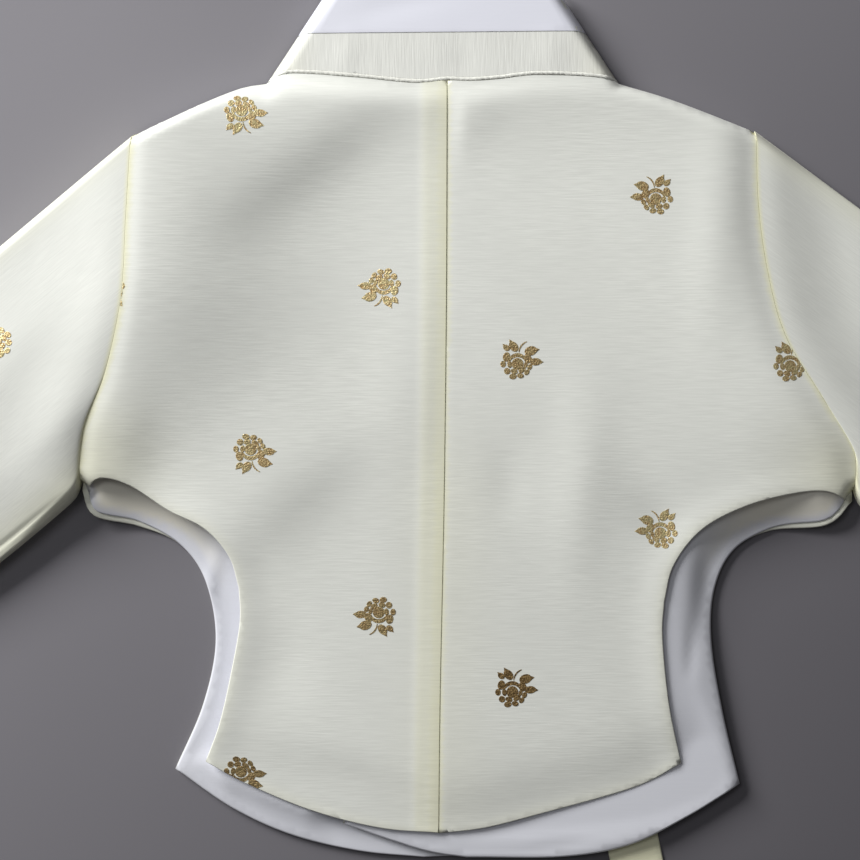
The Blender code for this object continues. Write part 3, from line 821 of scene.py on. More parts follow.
@dataclass
class BackHalf:
    """One half of the back, from the leaning centre seam to the armhole.

    Each rise, dip, lift, droop or roll of its top has a height, and a reach over which it dies away.
    """

    cut: SideCut
    hem_level: float = 9.6
    chest_rise: float = 2.2
    chest_y: float = 30.0
    chest_reach: float = 95.0
    underarm_rise: float = 1.0
    underarm_reach: float = 46.0
    fold_level: float = 0.8
    fold_reach: float = 6.0
    seam_dip: float = 0.7
    seam_reach: float = 4.0
    neck_level: float = 10.5
    neck_reach: float = 6.0
    hem_droop: float = 2.3
    hem_reach: float = 16.0
    roll_height: float = 14.0
    roll_reach: float = 58.0
    edge_lift: float = 0.8
    edge_reach: float = 9.0
    lip_dip: float = 3.5
    lip_reach: float = 24.0
    side_fall: float = 0.0
    groove: float = 0.1
    groove_width: float = 1.2
    crease_clear: float = 8.0
    allowance: float = 10.4
    allowance_rise: float = 0.2
    clear: float = 0.012
    creases: Sequence[Crease] = ()

    def __post_init__(self) -> None:
        """Works out the lines that the levels are measured from."""
        self.side = self.cut.side
        self.armhole = smooth_curve(self.cut.armhole, GUIDE_STEP)
        neck = [COLLAR.fold(self.side, across) for across in (40, 20)]
        self.shoulder = joined(neck, smooth_curve(self.cut.shoulder, GUIDE_STEP))
        self.underarm = np.array([self.cut.armhole[-1], self.cut.back_lip[0]], float)
        self.edge = joined(smooth_curve(self.cut.back_lip, GUIDE_STEP),
                           smooth_curve(self.cut.back_vent, GUIDE_STEP)[1:])
        self.hem = smooth_curve(self.cut.back_hem, GUIDE_STEP)
        self.centre = smooth_curve(CENTRE_SEAM)

    def level(self, plan: Plan) -> np.ndarray:
        """The top of the back."""
        x, y = plan[:, 0], plan[:, 1]
        seam = distance_to(self.armhole, plan)
        off_centre = x - self.seam_x(y)
        level = self.hem_level + self.chest_rise * bell(y - self.chest_y, self.chest_reach)
        away = np.hypot(x - 0.86 * self.underarm[0, 0], y - 12)
        level += self.underarm_rise * bell(away, self.underarm_reach)
        level -= self.side_fall * abs(x)
        upper = 0.2 + 0.8 * smoothstep((y + 30) / 110)
        level += self.roll_height * upper * bell(seam, self.roll_reach)
        level -= self.hem_droop * bell(distance_to(self.hem, plan), self.hem_reach)
        level -= self.seam_dip * bell(seam, self.seam_reach)
        level += self.edge_lift * bell(distance_to(self.edge, plan), self.edge_reach)
        lip = np.hypot(x - self.edge[0, 0] + self.side.value * 14, y - self.edge[0, 1] + 4)
        level -= self.lip_dip * bell(lip, self.lip_reach)
        level += total_rise(self.creases, plan) * smoothstep(abs(off_centre) / self.crease_clear)
        level += NECK_CREASE.rise(plan)
        level += (self.neck_level - level) * bell(neck_seam(x) - y, self.neck_reach)
        level -= self.groove * bell(off_centre, self.groove_width)
        if self.side is Side.LEFT:
            level += self.allowance_rise * (1 - smoothstep((-off_centre - self.allowance + 1.5) / 3))
        fold = np.minimum(distance_to(self.shoulder, plan), distance_to(self.underarm, plan))
        return self.fold_level + (level - self.fold_level) * rounded(fold, self.fold_reach)

    def seam_x(self, y: np.ndarray) -> np.ndarray:
        """The x of the centre seam at each y."""
        return np.interp(y, self.centre[::-1, 1], self.centre[::-1, 0])

    def warm(self, plan: Plan) -> np.ndarray:
        """Where the silk is doubled: the pressed allowance, the turned-in edges and the armhole."""
        x, y = plan[:, 0], plan[:, 1]
        over = abs(x - self.seam_x(y))
        underarm = np.hypot(x - self.underarm[0, 0], y - self.underarm[0, 1] - 6)
        low = 0.12 * smoothstep((40 - y) / 60)
        warm = [0.22 * bell(distance_to(self.open_edge(), plan), 3.5),
                0.95 * bell(distance_to(self.armhole, plan), 1.5),
                0.5 * bell(underarm, 27),
                1.2 * low * bell(over, 18)]
        if self.side is Side.LEFT:
            warm += [(0.34 + low) * (1 - smoothstep((over - self.allowance + 2) / 4)),
                     (0.56 + low) * (1 - smoothstep((over - 3.4) / 2.4)),
                     bell(over, 0.9)]
        else:
            warm.append(0.9 * bell(over, 0.9))
        return np.max(warm, axis=0)

    def open_edge(self) -> Plan:
        """The bagged-out edge, from the underarm round the vent to the foot of the centre seam."""
        return joined(smooth_curve(self.cut.back_lip, 2.0), smooth_curve(self.cut.back_vent)[1:],
                      smooth_curve(self.cut.back_hem)[1:-1], self.centre[-1:])

    def outline(self) -> Plan:
        """The half's outline, a hair clear of the centre seam."""
        clear = self.side.value * self.clear
        seam = self.centre + (clear, 0)
        neck_x = np.linspace(seam[0, 0], self.cut.shoulder[0][0], 32)
        neck = np.column_stack([neck_x, neck_seam(neck_x)])
        up = seam[::-1][1:-1]
        up = up[up[:, 1] < neck[0, 1] - 1]
        edge = self.open_edge()
        edge[-1, 0] += clear
        return joined(neck, smooth_curve(self.cut.shoulder)[1:], smooth_curve(self.cut.armhole)[1:], edge, up)

    def build(self, room: Workroom) -> bpy.types.Object:
        """Makes the half.

        Args:
            room: The workroom that fits it.

        Returns:
            The piece.
        """
        neck_x = np.linspace(0, self.side.value * COLLAR.neck_half, 30)
        neck = np.column_stack([neck_x, neck_seam(neck_x)])
        panel = Panel(self.outline(), self.level, under(self.level, BACK_WALL), step=2.2, rim=0.5,
                      tones=Tones(self.warm, lined_below=True),
                      sewn=(self.centre, smooth_curve(self.cut.armhole), neck))
        return room.fit(panel.cloth(), "back_" + self.side.word, Slot.SHELL)

    def panel(self) -> Panel:
        """The half as a flat cut."""
        return Panel(self.outline(), self.level, self.level)


# ---------------------------------------------------------------- sleeves

@dataclass
class Sleeve:
    """A set-in sleeve: a soft tube, flat underneath, open at the armhole and the cuff.

    Its lower edge sags a little in the middle and hangs lower than the armhole's foot, and a strip along it
    is stitched down.
    """

    back: BackHalf
    length: float = 246.0
    arm_width: float = 150.0
    cuff_width: float = 88.0
    cuff_level: float = 9.5
    hang: float = 4.6
    crown: float = 23.0
    tilt: float = 0.52
    edge_level: float = 3.6
    sag: float = 4.0
    sag_way: tuple[float, float] = (0.5, 0.86)
    rise: float = 0.9
    rise_reach: float = 9.0
    blend: float = 20.0
    strip: float = 6.0
    strip_groove: float = 0.55
    rings: int = 116
    half_turn: int = 84
    creases: Sequence[Crease] = ()

    def __post_init__(self) -> None:
        """Works out the tube's two ends."""
        cut = self.back.cut
        self.side = cut.side
        out = self.side.value
        self.armhole = shifted(smooth_curve(cut.armhole, 1.0), out * 0.06)
        fall, turn = math.radians(cut.sleeve_fall), math.radians(cut.cuff_turn)
        self.way = np.array([out * math.cos(fall), -math.sin(fall)])
        self.cuff_start = self.armhole[0] + self.length * self.way
        self.cuff_end = self.cuff_start + self.cuff_width * np.array([-out * math.cos(turn), -math.sin(turn)])
        self.out = out

    def width_at(self, along: np.ndarray) -> np.ndarray:
        """The pressed sleeve's width at a share of the way along it."""
        return self.arm_width + (self.cuff_width - self.arm_width) * along

    def place(self, along: np.ndarray, across: np.ndarray) -> Plan:
        """Points in plan, by their shares of the way along the sleeve and across it from its top edge."""
        index = across * (len(self.armhole) - 1)
        steps = np.arange(len(self.armhole))
        start = np.column_stack([np.interp(index, steps, self.armhole[:, axis]) for axis in (0, 1)])
        cuff = (1 - across)[:, None] * self.cuff_start + across[:, None] * self.cuff_end
        way = (-self.sag_way[0] * self.out, -self.sag_way[1])
        sag = (self.sag * across * np.sin(math.pi * along))[:, None] * way
        hang = self.hang * smoothstep((across - 0.55) / 0.45) * (1 - np.exp(-along * self.length / 3))
        return (1 - along)[:, None] * start + along[:, None] * cuff + sag + hang[:, None] * (0, -1)

    def level(self, along: np.ndarray, across: np.ndarray, plan: Plan) -> np.ndarray:
        """The top of the sleeve."""
        edge = self.place(np.zeros(len(across)), across)
        at_seam = self.back.level(edge - (0.3 * self.out, 0))
        seam = distance_to(self.armhole, plan)
        peak = (self.crown + (self.cuff_level - self.crown) * along ** 1.3) * (1 - self.tilt * across ** 2.6)
        width = self.width_at(along)
        lower = (1 - across) * width
        full = rounded(across * width, 6.0) * rounded(lower, 1.5)
        level = self.edge_level + (peak - self.edge_level) * full
        level += self.rise * (1 - bell(seam, 2.6)) * bell(seam, self.rise_reach)
        level += total_rise(self.creases, plan) * smoothstep(np.sin(math.pi * np.clip(across, 0, 1)) / 0.4)
        level -= self.strip_groove * (bell(lower - self.strip, 1.0) * smoothstep(along / 0.02))
        return level + (at_seam - level) * bell(seam, self.blend)

    def warm(self, along: np.ndarray, across: np.ndarray) -> np.ndarray:
        """Where the sleeve's silk is doubled: its lower edge, its armhole and its cuff."""
        return np.max([0.5 * bell((1 - across) * self.arm_width, 16),
                       0.35 * bell(across * self.arm_width, 9),
                       0.95 * bell(along * self.length, 1.2 + 3 * across ** 2),
                       0.8 * np.exp(-((1 - along) * self.length / 14) ** 4)], axis=0)

    def section(self, along: float) -> tuple[np.ndarray, np.ndarray, np.ndarray]:
        """One ring of the tube.

        Args:
            along: The ring's share of the way along the sleeve.

        Returns:
            The ring's outer points, its inner points and its share across for each.
        """
        spokes = np.arange(2 * self.half_turn)
        angle = math.pi * spokes / self.half_turn
        across = (1 - np.cos(angle)) / 2
        height = abs(np.sin(angle))
        along_all = np.full(len(across), along)
        plan = self.place(along_all, across)
        inset = self.place(along_all, 0.5 + (across - 0.5) * (1 - 2 * BACK_WALL / self.width_at(along)))
        wall = BACK_WALL * np.minimum(1, height / 0.3)
        above = spokes <= self.half_turn
        top = np.maximum(self.edge_level + 1.5 * height, self.level(along_all, across, plan))
        base = self.edge_level * np.maximum(0, 1 - height / 0.45) ** 2
        z = np.where(above, top, base)
        z = np.where(height < 1e-6, self.edge_level, z)
        inner_z = np.where(above, z - wall, z + wall)
        return np.column_stack([plan, z]), np.column_stack([inset, inner_z]), across

    def cloth(self) -> Cloth:
        """Winds the rings into a closed wall, open at both ends."""
        shares = np.sort(np.append(np.linspace(0, 1, self.rings) ** 1.15, (0.0004, 0.9996)))
        sections = [self.section(share) for share in shares]
        turn = 2 * self.half_turn
        outer = [section[0] for section in sections]
        inner = [section[1] for section in sections]
        start_lip = outer[0] * 0.5 + inner[0] * 0.5
        end_lip = outer[-1] * 0.5 + inner[-1] * 0.5 + (*(self.way * 0.4), 0)
        loop = [*outer, end_lip, *inner[::-1], start_lip]
        count = len(loop)
        faces = []
        for ring in range(count):
            here, after = ring * turn, (ring + 1) % count * turn
            for spoke in range(turn):
                beside = (spoke + 1) % turn
                corners = (here + spoke, here + beside, after + beside, after + spoke)
                faces.append(corners if self.out > 0 else corners[::-1])
        across = sections[0][2]
        along = np.concatenate([shares, [1.0], shares[::-1], [0.0]])
        spokes = np.arange(turn)
        around = np.where(spokes <= self.half_turn, across, 2 - across)
        weave = np.array([(share * self.length, turned * self.arm_width)
                          for share in along for turned in around])
        warm = np.concatenate([self.warm(np.full(turn, share), across) for share in along])
        rings = len(shares)
        lined = np.concatenate([np.zeros(rings), [0.0], np.ones(rings), [0.0]])
        return Cloth(np.vstack(loop), faces, weave, warm, np.repeat(lined, turn))

    def size(self) -> tuple[float, float]:
        """The cut's width, twice the armhole's height, and its length along the top fold, in metres."""
        armhole = float(np.hypot(*np.diff(self.armhole, axis=0).T).sum())
        return 2 * armhole * MM, self.length * MM

    def area(self) -> float:
        """The cut's area in square metres, both faces of the pressed sleeve together."""
        share = np.linspace(0, 1, 60)
        nought, one = np.zeros(60), np.ones(60)
        outline = joined(self.place(nought, share), self.place(share, one), self.place(one, share[::-1]),
                         self.place(share[::-1], nought))
        return 2 * Panel(outline, flat_level(0), flat_level(0)).area()

    def build(self, room: Workroom) -> bpy.types.Object:
        """Makes the sleeve."""
        return room.fit(self.cloth(), "sleeve_" + self.side.word, Slot.SHELL)


# ---------------------------------------------------------------- fronts

@dataclass
class Front:
    """A front with its overlap gusset and its lining, laid under the back."""

    cut: SideCut
    base: Level
    cover: BackHalf
    inner: bool
    curl: float = 6.6
    curl_reach: float = 19.0
    tuck: float = 1.6
    ridge: float = 0.3
    ridge_width: float = 1.6
    puff: float = 5.2
    puff_reach: float = 17.0
    shell_rim: float = 2.2
    creases: Sequence[Crease] = ()

    def __post_init__(self) -> None:
        """Works out the front's seams and its open edge."""
        cut = self.cut
        self.side = cut.side
        out = self.side.value
        self.word = "inner" if self.inner else "outer"
        self.vent = smooth_curve(cut.front_vent)
        self.hem = joined(smooth_curve(cut.front_hem), smooth_curve(cut.overlap_hem)[1:])
        self.opening = smooth_curve(cut.front_edge, GUIDE_STEP)
        self.free_edge = joined(self.vent, self.hem[1:])
        self.shoulder = shifted(smooth_curve(cut.shoulder, GUIDE_STEP), -out * self.tuck)
        self.armhole = shifted(smooth_curve(cut.armhole, 3), -out * 0.4)

    def off_underarm(self, plan: Plan) -> np.ndarray:
        """The distance of each point from the head of the vent, at the underarm."""
        x, y = self.cut.front_vent[0]
        return np.hypot(plan[:, 0] - x, plan[:, 1] - y)

    def lift(self, plan: Plan) -> np.ndarray:
        """How far the front's side curls up towards the underarm."""
        fold = smoothstep(distance_to(self.cover.underarm, plan) / 6)
        lift = self.curl * (0.55 + 0.45 * fold) * bell(self.off_underarm(plan), self.curl_reach)
        return np.minimum(lift, self.headroom(plan))

    def headroom(self, plan: Plan) -> np.ndarray:
        """How much higher than its plain layers the front may rise without meeting the back."""
        above = self.cover.level(plan) - BACK_WALL - 0.4
        return np.maximum(above - self.base(plan) - LAYER - SHELL, 0)

    def ground(self, plan: Plan) -> np.ndarray:
        """What the front lies on, with its own curl."""
        return self.base(plan) + self.lift(plan)

    def rim_share(self, plan: Plan) -> np.ndarray:
        """1 near the underarm, where the shell shows past the lining, falling to 0 down the vent."""
        return 1 - smoothstep((self.off_underarm(plan) - 22) / 26)

    def shell_top(self, plan: Plan) -> np.ndarray:
        """The top of the shell, rolled up where it shows past the lining."""
        edge = distance_to(self.free_edge, plan)
        roll = 1.1 * self.rim_share(plan) * bell(edge - 1.0, 1.2)
        return self.ground(plan) + SHELL + roll

    def lining_top(self, plan: Plan) -> np.ndarray:
        """The top of the lining, with the padded ridge of its turned-in edge."""
        edge = distance_to(self.free_edge, plan)
        ridge = self.ridge * (smoothstep(edge / 1.2) - smoothstep((edge - self.ridge_width) / 3.5))
        covered = 0.0 if self.inner else smoothstep((plan[:, 0] + 58) / 14)
        shown = (1 - self.rim_share(plan)) * (1 - covered)
        creases = total_rise(self.creases, plan)
        room = np.clip(1 - self.base(plan) / 5.8, 0.1, 1)
        puff = self.puff * room * smoothstep((edge - 1) / self.puff_reach) * (1 - covered)
        if self.side is Side.LEFT:
            puff = puff * (0.15 + 0.85 * smoothstep((-118 - plan[:, 1]) / 26))
        extra = ridge * shown + puff + creases * (1 - covered)
        extra = np.minimum(extra, self.headroom(plan) - self.lift(plan))
        return self.ground(plan) + LAYER + SHELL + extra

    def warm(self, plan: Plan) -> np.ndarray:
        """The shell is warm where it turns in at its edge."""
        return 0.25 * bell(distance_to(self.free_edge, plan), 8)

    def facing_and_bounce_light(self, plan: Plan) -> np.ndarray:
        """The lining is faced with the shell's silk deep under the arm, and painted warmer and lighter there
        as painted bounce light in the shade of the back.
        """
        near = 1 - smoothstep((self.off_underarm(plan) - 36) / 40)
        return near * smoothstep((distance_to(self.free_edge, plan) - 3.5) / 3.5)

    def lining_outline(self) -> Plan:
        """The lining's outline: short of the shell near the underarm and flush with it elsewhere."""
        out = self.side.value
        inset = 0.15 + self.shell_rim * self.rim_share(self.free_edge)
        edge = shifted(self.free_edge, (-out * inset)[:, None])
        opening = shifted(self.opening, out * 0.8)
        length = self.cut.collar_length
        return joined(self.shoulder[1:], self.armhole[1:-1], edge[1:-1], opening[::-1][:-1],
                      [COLLAR.point(self.side, length + GAP, COLLAR.width - 12),
                       COLLAR.point(self.side, length + GAP, -GAP), COLLAR.point(self.side, 2.0, -GAP)])

    def shell_outlines(self) -> tuple[Plan, Plan]:
        """The outlines of the front and of its overlap, either side of the seam between them."""
        out, cut = self.side.value, self.cut
        top, foot = COLLAR.point(self.side, cut.overlap_top, -GAP), np.array(cut.overlap_hem[0], float)
        seam = smooth_curve([tuple(top), tuple(foot)], GUIDE_STEP)
        half = np.array([out * 0.12, 0])
        hem = smooth_curve(cut.front_hem)[1:-1]
        main = joined(self.shoulder[1:], self.armhole[1:-1], self.vent, hem, [foot + half],
                      seam[::-1][1:] + half, [COLLAR.point(self.side, 2.0, -GAP)])
        gusset = joined([COLLAR.point(self.side, cut.overlap_top + 0.6, -GAP)], seam[1:] - half,
                        smooth_curve(cut.overlap_hem)[1:], self.opening[::-1][1:-1],
                        [COLLAR.point(self.side, cut.collar_length + GAP, COLLAR.width - 10),
                         COLLAR.point(self.side, cut.collar_length + GAP, -GAP)])
        return main, gusset

    def build(self, room: Workroom) -> dict[str, Panel]:
        """Makes the shell, its overlap and the lining.

        Args:
            room: The workroom that fits them.

        Returns:
            The three panels, by node.
        """
        main, gusset = self.shell_outlines()
        ground, tones = self.ground, Tones(self.warm)
        panels = {
            "front_" + self.word: Panel(main, self.shell_top, ground, step=3.4, rim=0.5, tones=tones),
            "overlap_" + self.word: Panel(gusset, self.shell_top, ground, step=3.4, rim=0.5, tones=tones),
            "lining_" + self.word: Panel(self.lining_outline(), self.lining_top, raised(ground, LAYER),
                                         step=2.6, rim=0.9, tones=Tones(self.facing_and_bounce_light)),
        }
        for node, panel in panels.items():
            slot = Slot.LINING if node.startswith("lining") else Slot.SHELL
            room.fit(panel.cloth(), node, slot)
        return panels


def inner_base() -> Level:
    """How far the inner front is held up by the outer front and the ties, down to nothing past the step."""
    head = [tuple(COLLAR.point(Side.LEFT, along, COLLAR.width)) for along in (-34, 30, 90)]
    line = smooth_curve([*head, *STEP_KNOTS_LOW], 9)

    def base(plan: Plan) -> np.ndarray:
        """The height at each point."""
        past = (nearest_on(line, plan)[1] - STEP_NEAR) / (STEP_FAR - STEP_NEAR)
        return (2 * LAYER + GAP) * (1 - smoothstep(past))
    return base


# ---------------------------------------------------------------- the collar

@dataclass
class Collar:
    """The band behind the neck with its white strip and welt, and the two front stretches."""

    inner_ground: Level
    level_behind: float = 10.6
    fold_level: float = 2.4
    fold_reach: float = 5.0
    white_edge: float = 177.2
    white_slope: float = 0.009
    seam_gap: float = 0.02
    welt_width: float = 1.6
    welt_rise: float = 0.3
    tuck: float = 1.8
    creases: Sequence[Crease] = ()

    def behind(self, plan: Plan) -> np.ndarray:
        """The top of the band behind the neck."""
        folds = [np.array([COLLAR.fold(side, -3), COLLAR.fold(side, COLLAR.width + 3)]) for side in Side]
        fold = np.minimum(*(distance_to(line, plan) for line in folds))
        level = self.level_behind + total_rise(self.creases, plan) * smoothstep(fold / 22)
        eased = 1 - (1 - np.clip(fold / self.fold_reach, 0, 1)) ** 2
        return self.fold_level + (level - self.fold_level) * eased

    def warm(self, plan: Plan) -> np.ndarray:
        """The band is warmer towards its folds."""
        return 0.5 * smoothstep((abs(plan[:, 0]) - 48) / 26)

    def meets_fold(self, side: Side, line: Line) -> float:
        """The x where a line meets the slanting fold at one side of the neck."""
        x = side.value * COLLAR.neck_half
        for _ in range(8):
            across = float(line(np.array([x]))[0]) - COLLAR.neck_y
            x = float(COLLAR.fold(side, across)[0])
        return x

    def strip(self, low: Line, high: Line) -> Plan:
        """The outline of a strip between the two folds, from one edge line to another."""
        low_x = np.linspace(self.meets_fold(Side.LEFT, low), self.meets_fold(Side.RIGHT, low), 72)
        high_x = np.linspace(self.meets_fold(Side.RIGHT, high), self.meets_fold(Side.LEFT, high), 60)
        lower, upper = np.column_stack([low_x, low(low_x)]), np.column_stack([high_x, high(high_x)])
        right, left = np.linspace(lower[-1], upper[0], 10), np.linspace(upper[-1], lower[0], 10)
        return joined(lower, right[1:-1], upper, left[1:-1])

    def white_line(self, x: np.ndarray) -> np.ndarray:
        """The lower edge of the white strip."""
        return self.white_edge + self.white_slope * x

    def welt_top(self, plan: Plan) -> np.ndarray:
        """The welt is a thin round roll along the neck seam."""
        middle = neck_seam(plan[:, 0]) + 0.15 + self.welt_width / 2
        off = np.clip(abs(plan[:, 1] - middle) / (self.welt_width / 2), 0, 1)
        return self.behind(plan) + self.welt_rise * np.sqrt(1 - 0.9 * off ** 2) - 0.1

    def front_level(self, side: Side, base: Level) -> Level:
        """A front stretch's underside, which rises over the white strip that lies under it."""
        start = np.array([side.value * COLLAR.neck_half, COLLAR.neck_y])
        wide = COLLAR.point(side, 0, 1) - start

        def level(plan: Plan) -> np.ndarray:
            """The underside at each point."""
            across = (plan - start) @ wide
            part = (across - (COLLAR.width - COLLAR.white - 7.5)) / 6.0
            return base(plan) + (LAYER + GAP) * smoothstep(part)
        return level

    def front_outline(self, side: Side, first: float, last: float, end: float) -> Plan:
        """The outline of a front stretch, tucked in from the slanting fold."""
        low_run = np.linspace(first * 0.45 + 3 + self.tuck, end, 40)
        high_run = np.linspace(end, last * 0.45 - 18, 40)
        low = [COLLAR.point(side, along, first) for along in low_run]
        high = [COLLAR.point(side, along, last) for along in high_run]
        tucked = np.array([-side.value * self.tuck, 0])
        top = [COLLAR.fold(side, across) + tucked for across in np.linspace(last, first, 12)]
        return joined(low, high, top)

    def build(self, room: Workroom) -> dict[str, Panel]:
        """Makes the seven pieces of the collar.

        Args:
            room: The workroom that fits them.

        Returns:
            The panels, by node.
        """
        behind, wall = self.behind, under(self.behind, BACK_WALL)
        top_y = COLLAR.neck_y + COLLAR.width
        seam_up = above_neck(self.seam_gap)
        welt_up = above_neck(self.seam_gap, self.welt_width)
        band_up = above_neck(2 * self.seam_gap, self.welt_width)
        lift = raised(behind, 0.04)
        neck_x = np.linspace(-COLLAR.neck_half - 4, COLLAR.neck_half + 4, 80)
        seams = [np.column_stack([neck_x, line(neck_x)]) for line in (seam_up, welt_up, band_up)]
        panels = {
            "collar_back": Panel(self.strip(band_up, straight_across(top_y)), behind, wall, rim=0.25,
                                 tones=Tones(self.warm), step=2.0, sewn=seams[2:]),
            "collar_welt": Panel(self.strip(seam_up, welt_up), self.welt_top, wall, step=0.6, rim=0.25,
                                 tones=Tones(flat_level(0.15)), sewn=seams[:2]),
            "collar_white_back": Panel(self.strip(self.white_line, straight_across(top_y + 0.6)),
                                       raised(lift, 0.22), lift, rim=0.15),
        }
        stretches = ((Side.LEFT, "outer", flat_level(0)), (Side.RIGHT, "inner", self.inner_ground))
        for side, word, base in stretches:
            length = CUTS[side].collar_length
            level = self.front_level(side, base)
            start = COLLAR.width - COLLAR.white
            grain = -side.value * (90 - math.degrees(COLLAR.fall))
            panels["collar_" + word] = Panel(self.front_outline(side, 0, COLLAR.width, length),
                                             raised(level, BACK_WALL), level, step=3.4, grain=grain)
            panels["collar_white_" + word] = Panel(self.front_outline(side, start, COLLAR.width, length - 36),
                                                   raised(base, SHELL), base, step=3.4, grain=grain)
        for node, panel in panels.items():
            room.fit(panel.cloth(), node, Slot.WHITE if "white" in node else Slot.COLLAR)
        return panels


# ---------------------------------------------------------------- ties

@dataclass
class Tie:
    """A flat tie, sewn as a tube and pressed, under the fronts and out past the hem."""

    node: str
    centre: Knots
    width: float = 22.0

    def outline(self) -> Plan:
        """The tie's outline."""
        line = smooth_curve(self.centre, 3)
        return joined(shifted(line, self.width / 2), shifted(line, -self.width / 2)[::-1])

    def top(self, plan: Plan) -> np.ndarray:
        """The tie's upper face: it swells a little between its pressed edges, and its seam stands proud."""
        line = smooth_curve(self.centre, 3)
        off = nearest_on(line, plan)[1]
        free = smoothstep((-150 - plan[:, 1]) / 12)
        seam = 0.3 * bell(off - self.width / 2 + 1.6, 0.7)
        middle = 0.7 * np.clip(1 - (off / (self.width / 2)) ** 2, 0, 1)
        return SHELL + free * (seam + middle)

    def build(self, room: Workroom) -> Panel:
        """Makes the tie."""
        run = np.subtract(self.centre[-1], self.centre[0])
        panel = Panel(self.outline(), self.top, flat_level(0), step=2.6, tones=Tones(flat_level(0.9)),
                      grain=math.degrees(math.atan2(run[0], -run[1])))
        room.fit(panel.cloth(), self.node, Slot.SHELL)
        return panel


# ---------------------------------------------------------------- gold flowers

class Part(Enum):
    """What is selected in edit mode, and what a mesh calls it."""

    VERT = "vertices"
    EDGE = "edges"
    FACE = "polygons"


def set_mode(mode: str) -> None:
    """Puts the active object in edit or object mode."""
    bpy.ops.object.mode_set(mode=mode)


def only(*pieces: bpy.types.Object) -> None:
    """Selects these objects and no others, the first of them active."""
    if bpy.context.object and bpy.context.object.mode != "OBJECT":
        set_mode("OBJECT")
    bpy.ops.object.select_all(action="DESELECT")
    for piece in pieces:
        piece.select_set(True)
    if pieces:
        bpy.context.view_layer.objects.active = pieces[0]


def pick(piece: bpy.types.Object, kind: Part, chosen: Callable[..., bool]) -> None:
    """Selects some parts of the active object's mesh, and leaves it in edit mode.

    Args:
        piece: The active object.
        kind: What to select.
        chosen: Says whether a part is selected.
    """
    set_mode("EDIT")
    bpy.ops.mesh.select_mode(type=kind.name)
    bpy.ops.mesh.select_all(action="DESELECT")
    set_mode("OBJECT")
    for part in getattr(piece.data, kind.value):
        part.select = chosen(part)
    set_mode("EDIT")


@dataclass(frozen=True)
class Petal:
    """A round petal or a pointed leaf: its place, its half sizes, its turn, and how far its tip is drawn."""

    x: float
    y: float
    wide: float
    tall: float
    turn: float = 0.0
    tip: float = 0.0


@dataclass(frozen=True)
class Arc:
    """A curved band: an arc of a ring, as wide at its middle as it says and narrower to its ends."""

    x: float
    y: float
    radius: float
    width: float
    start: float
    sweep: float


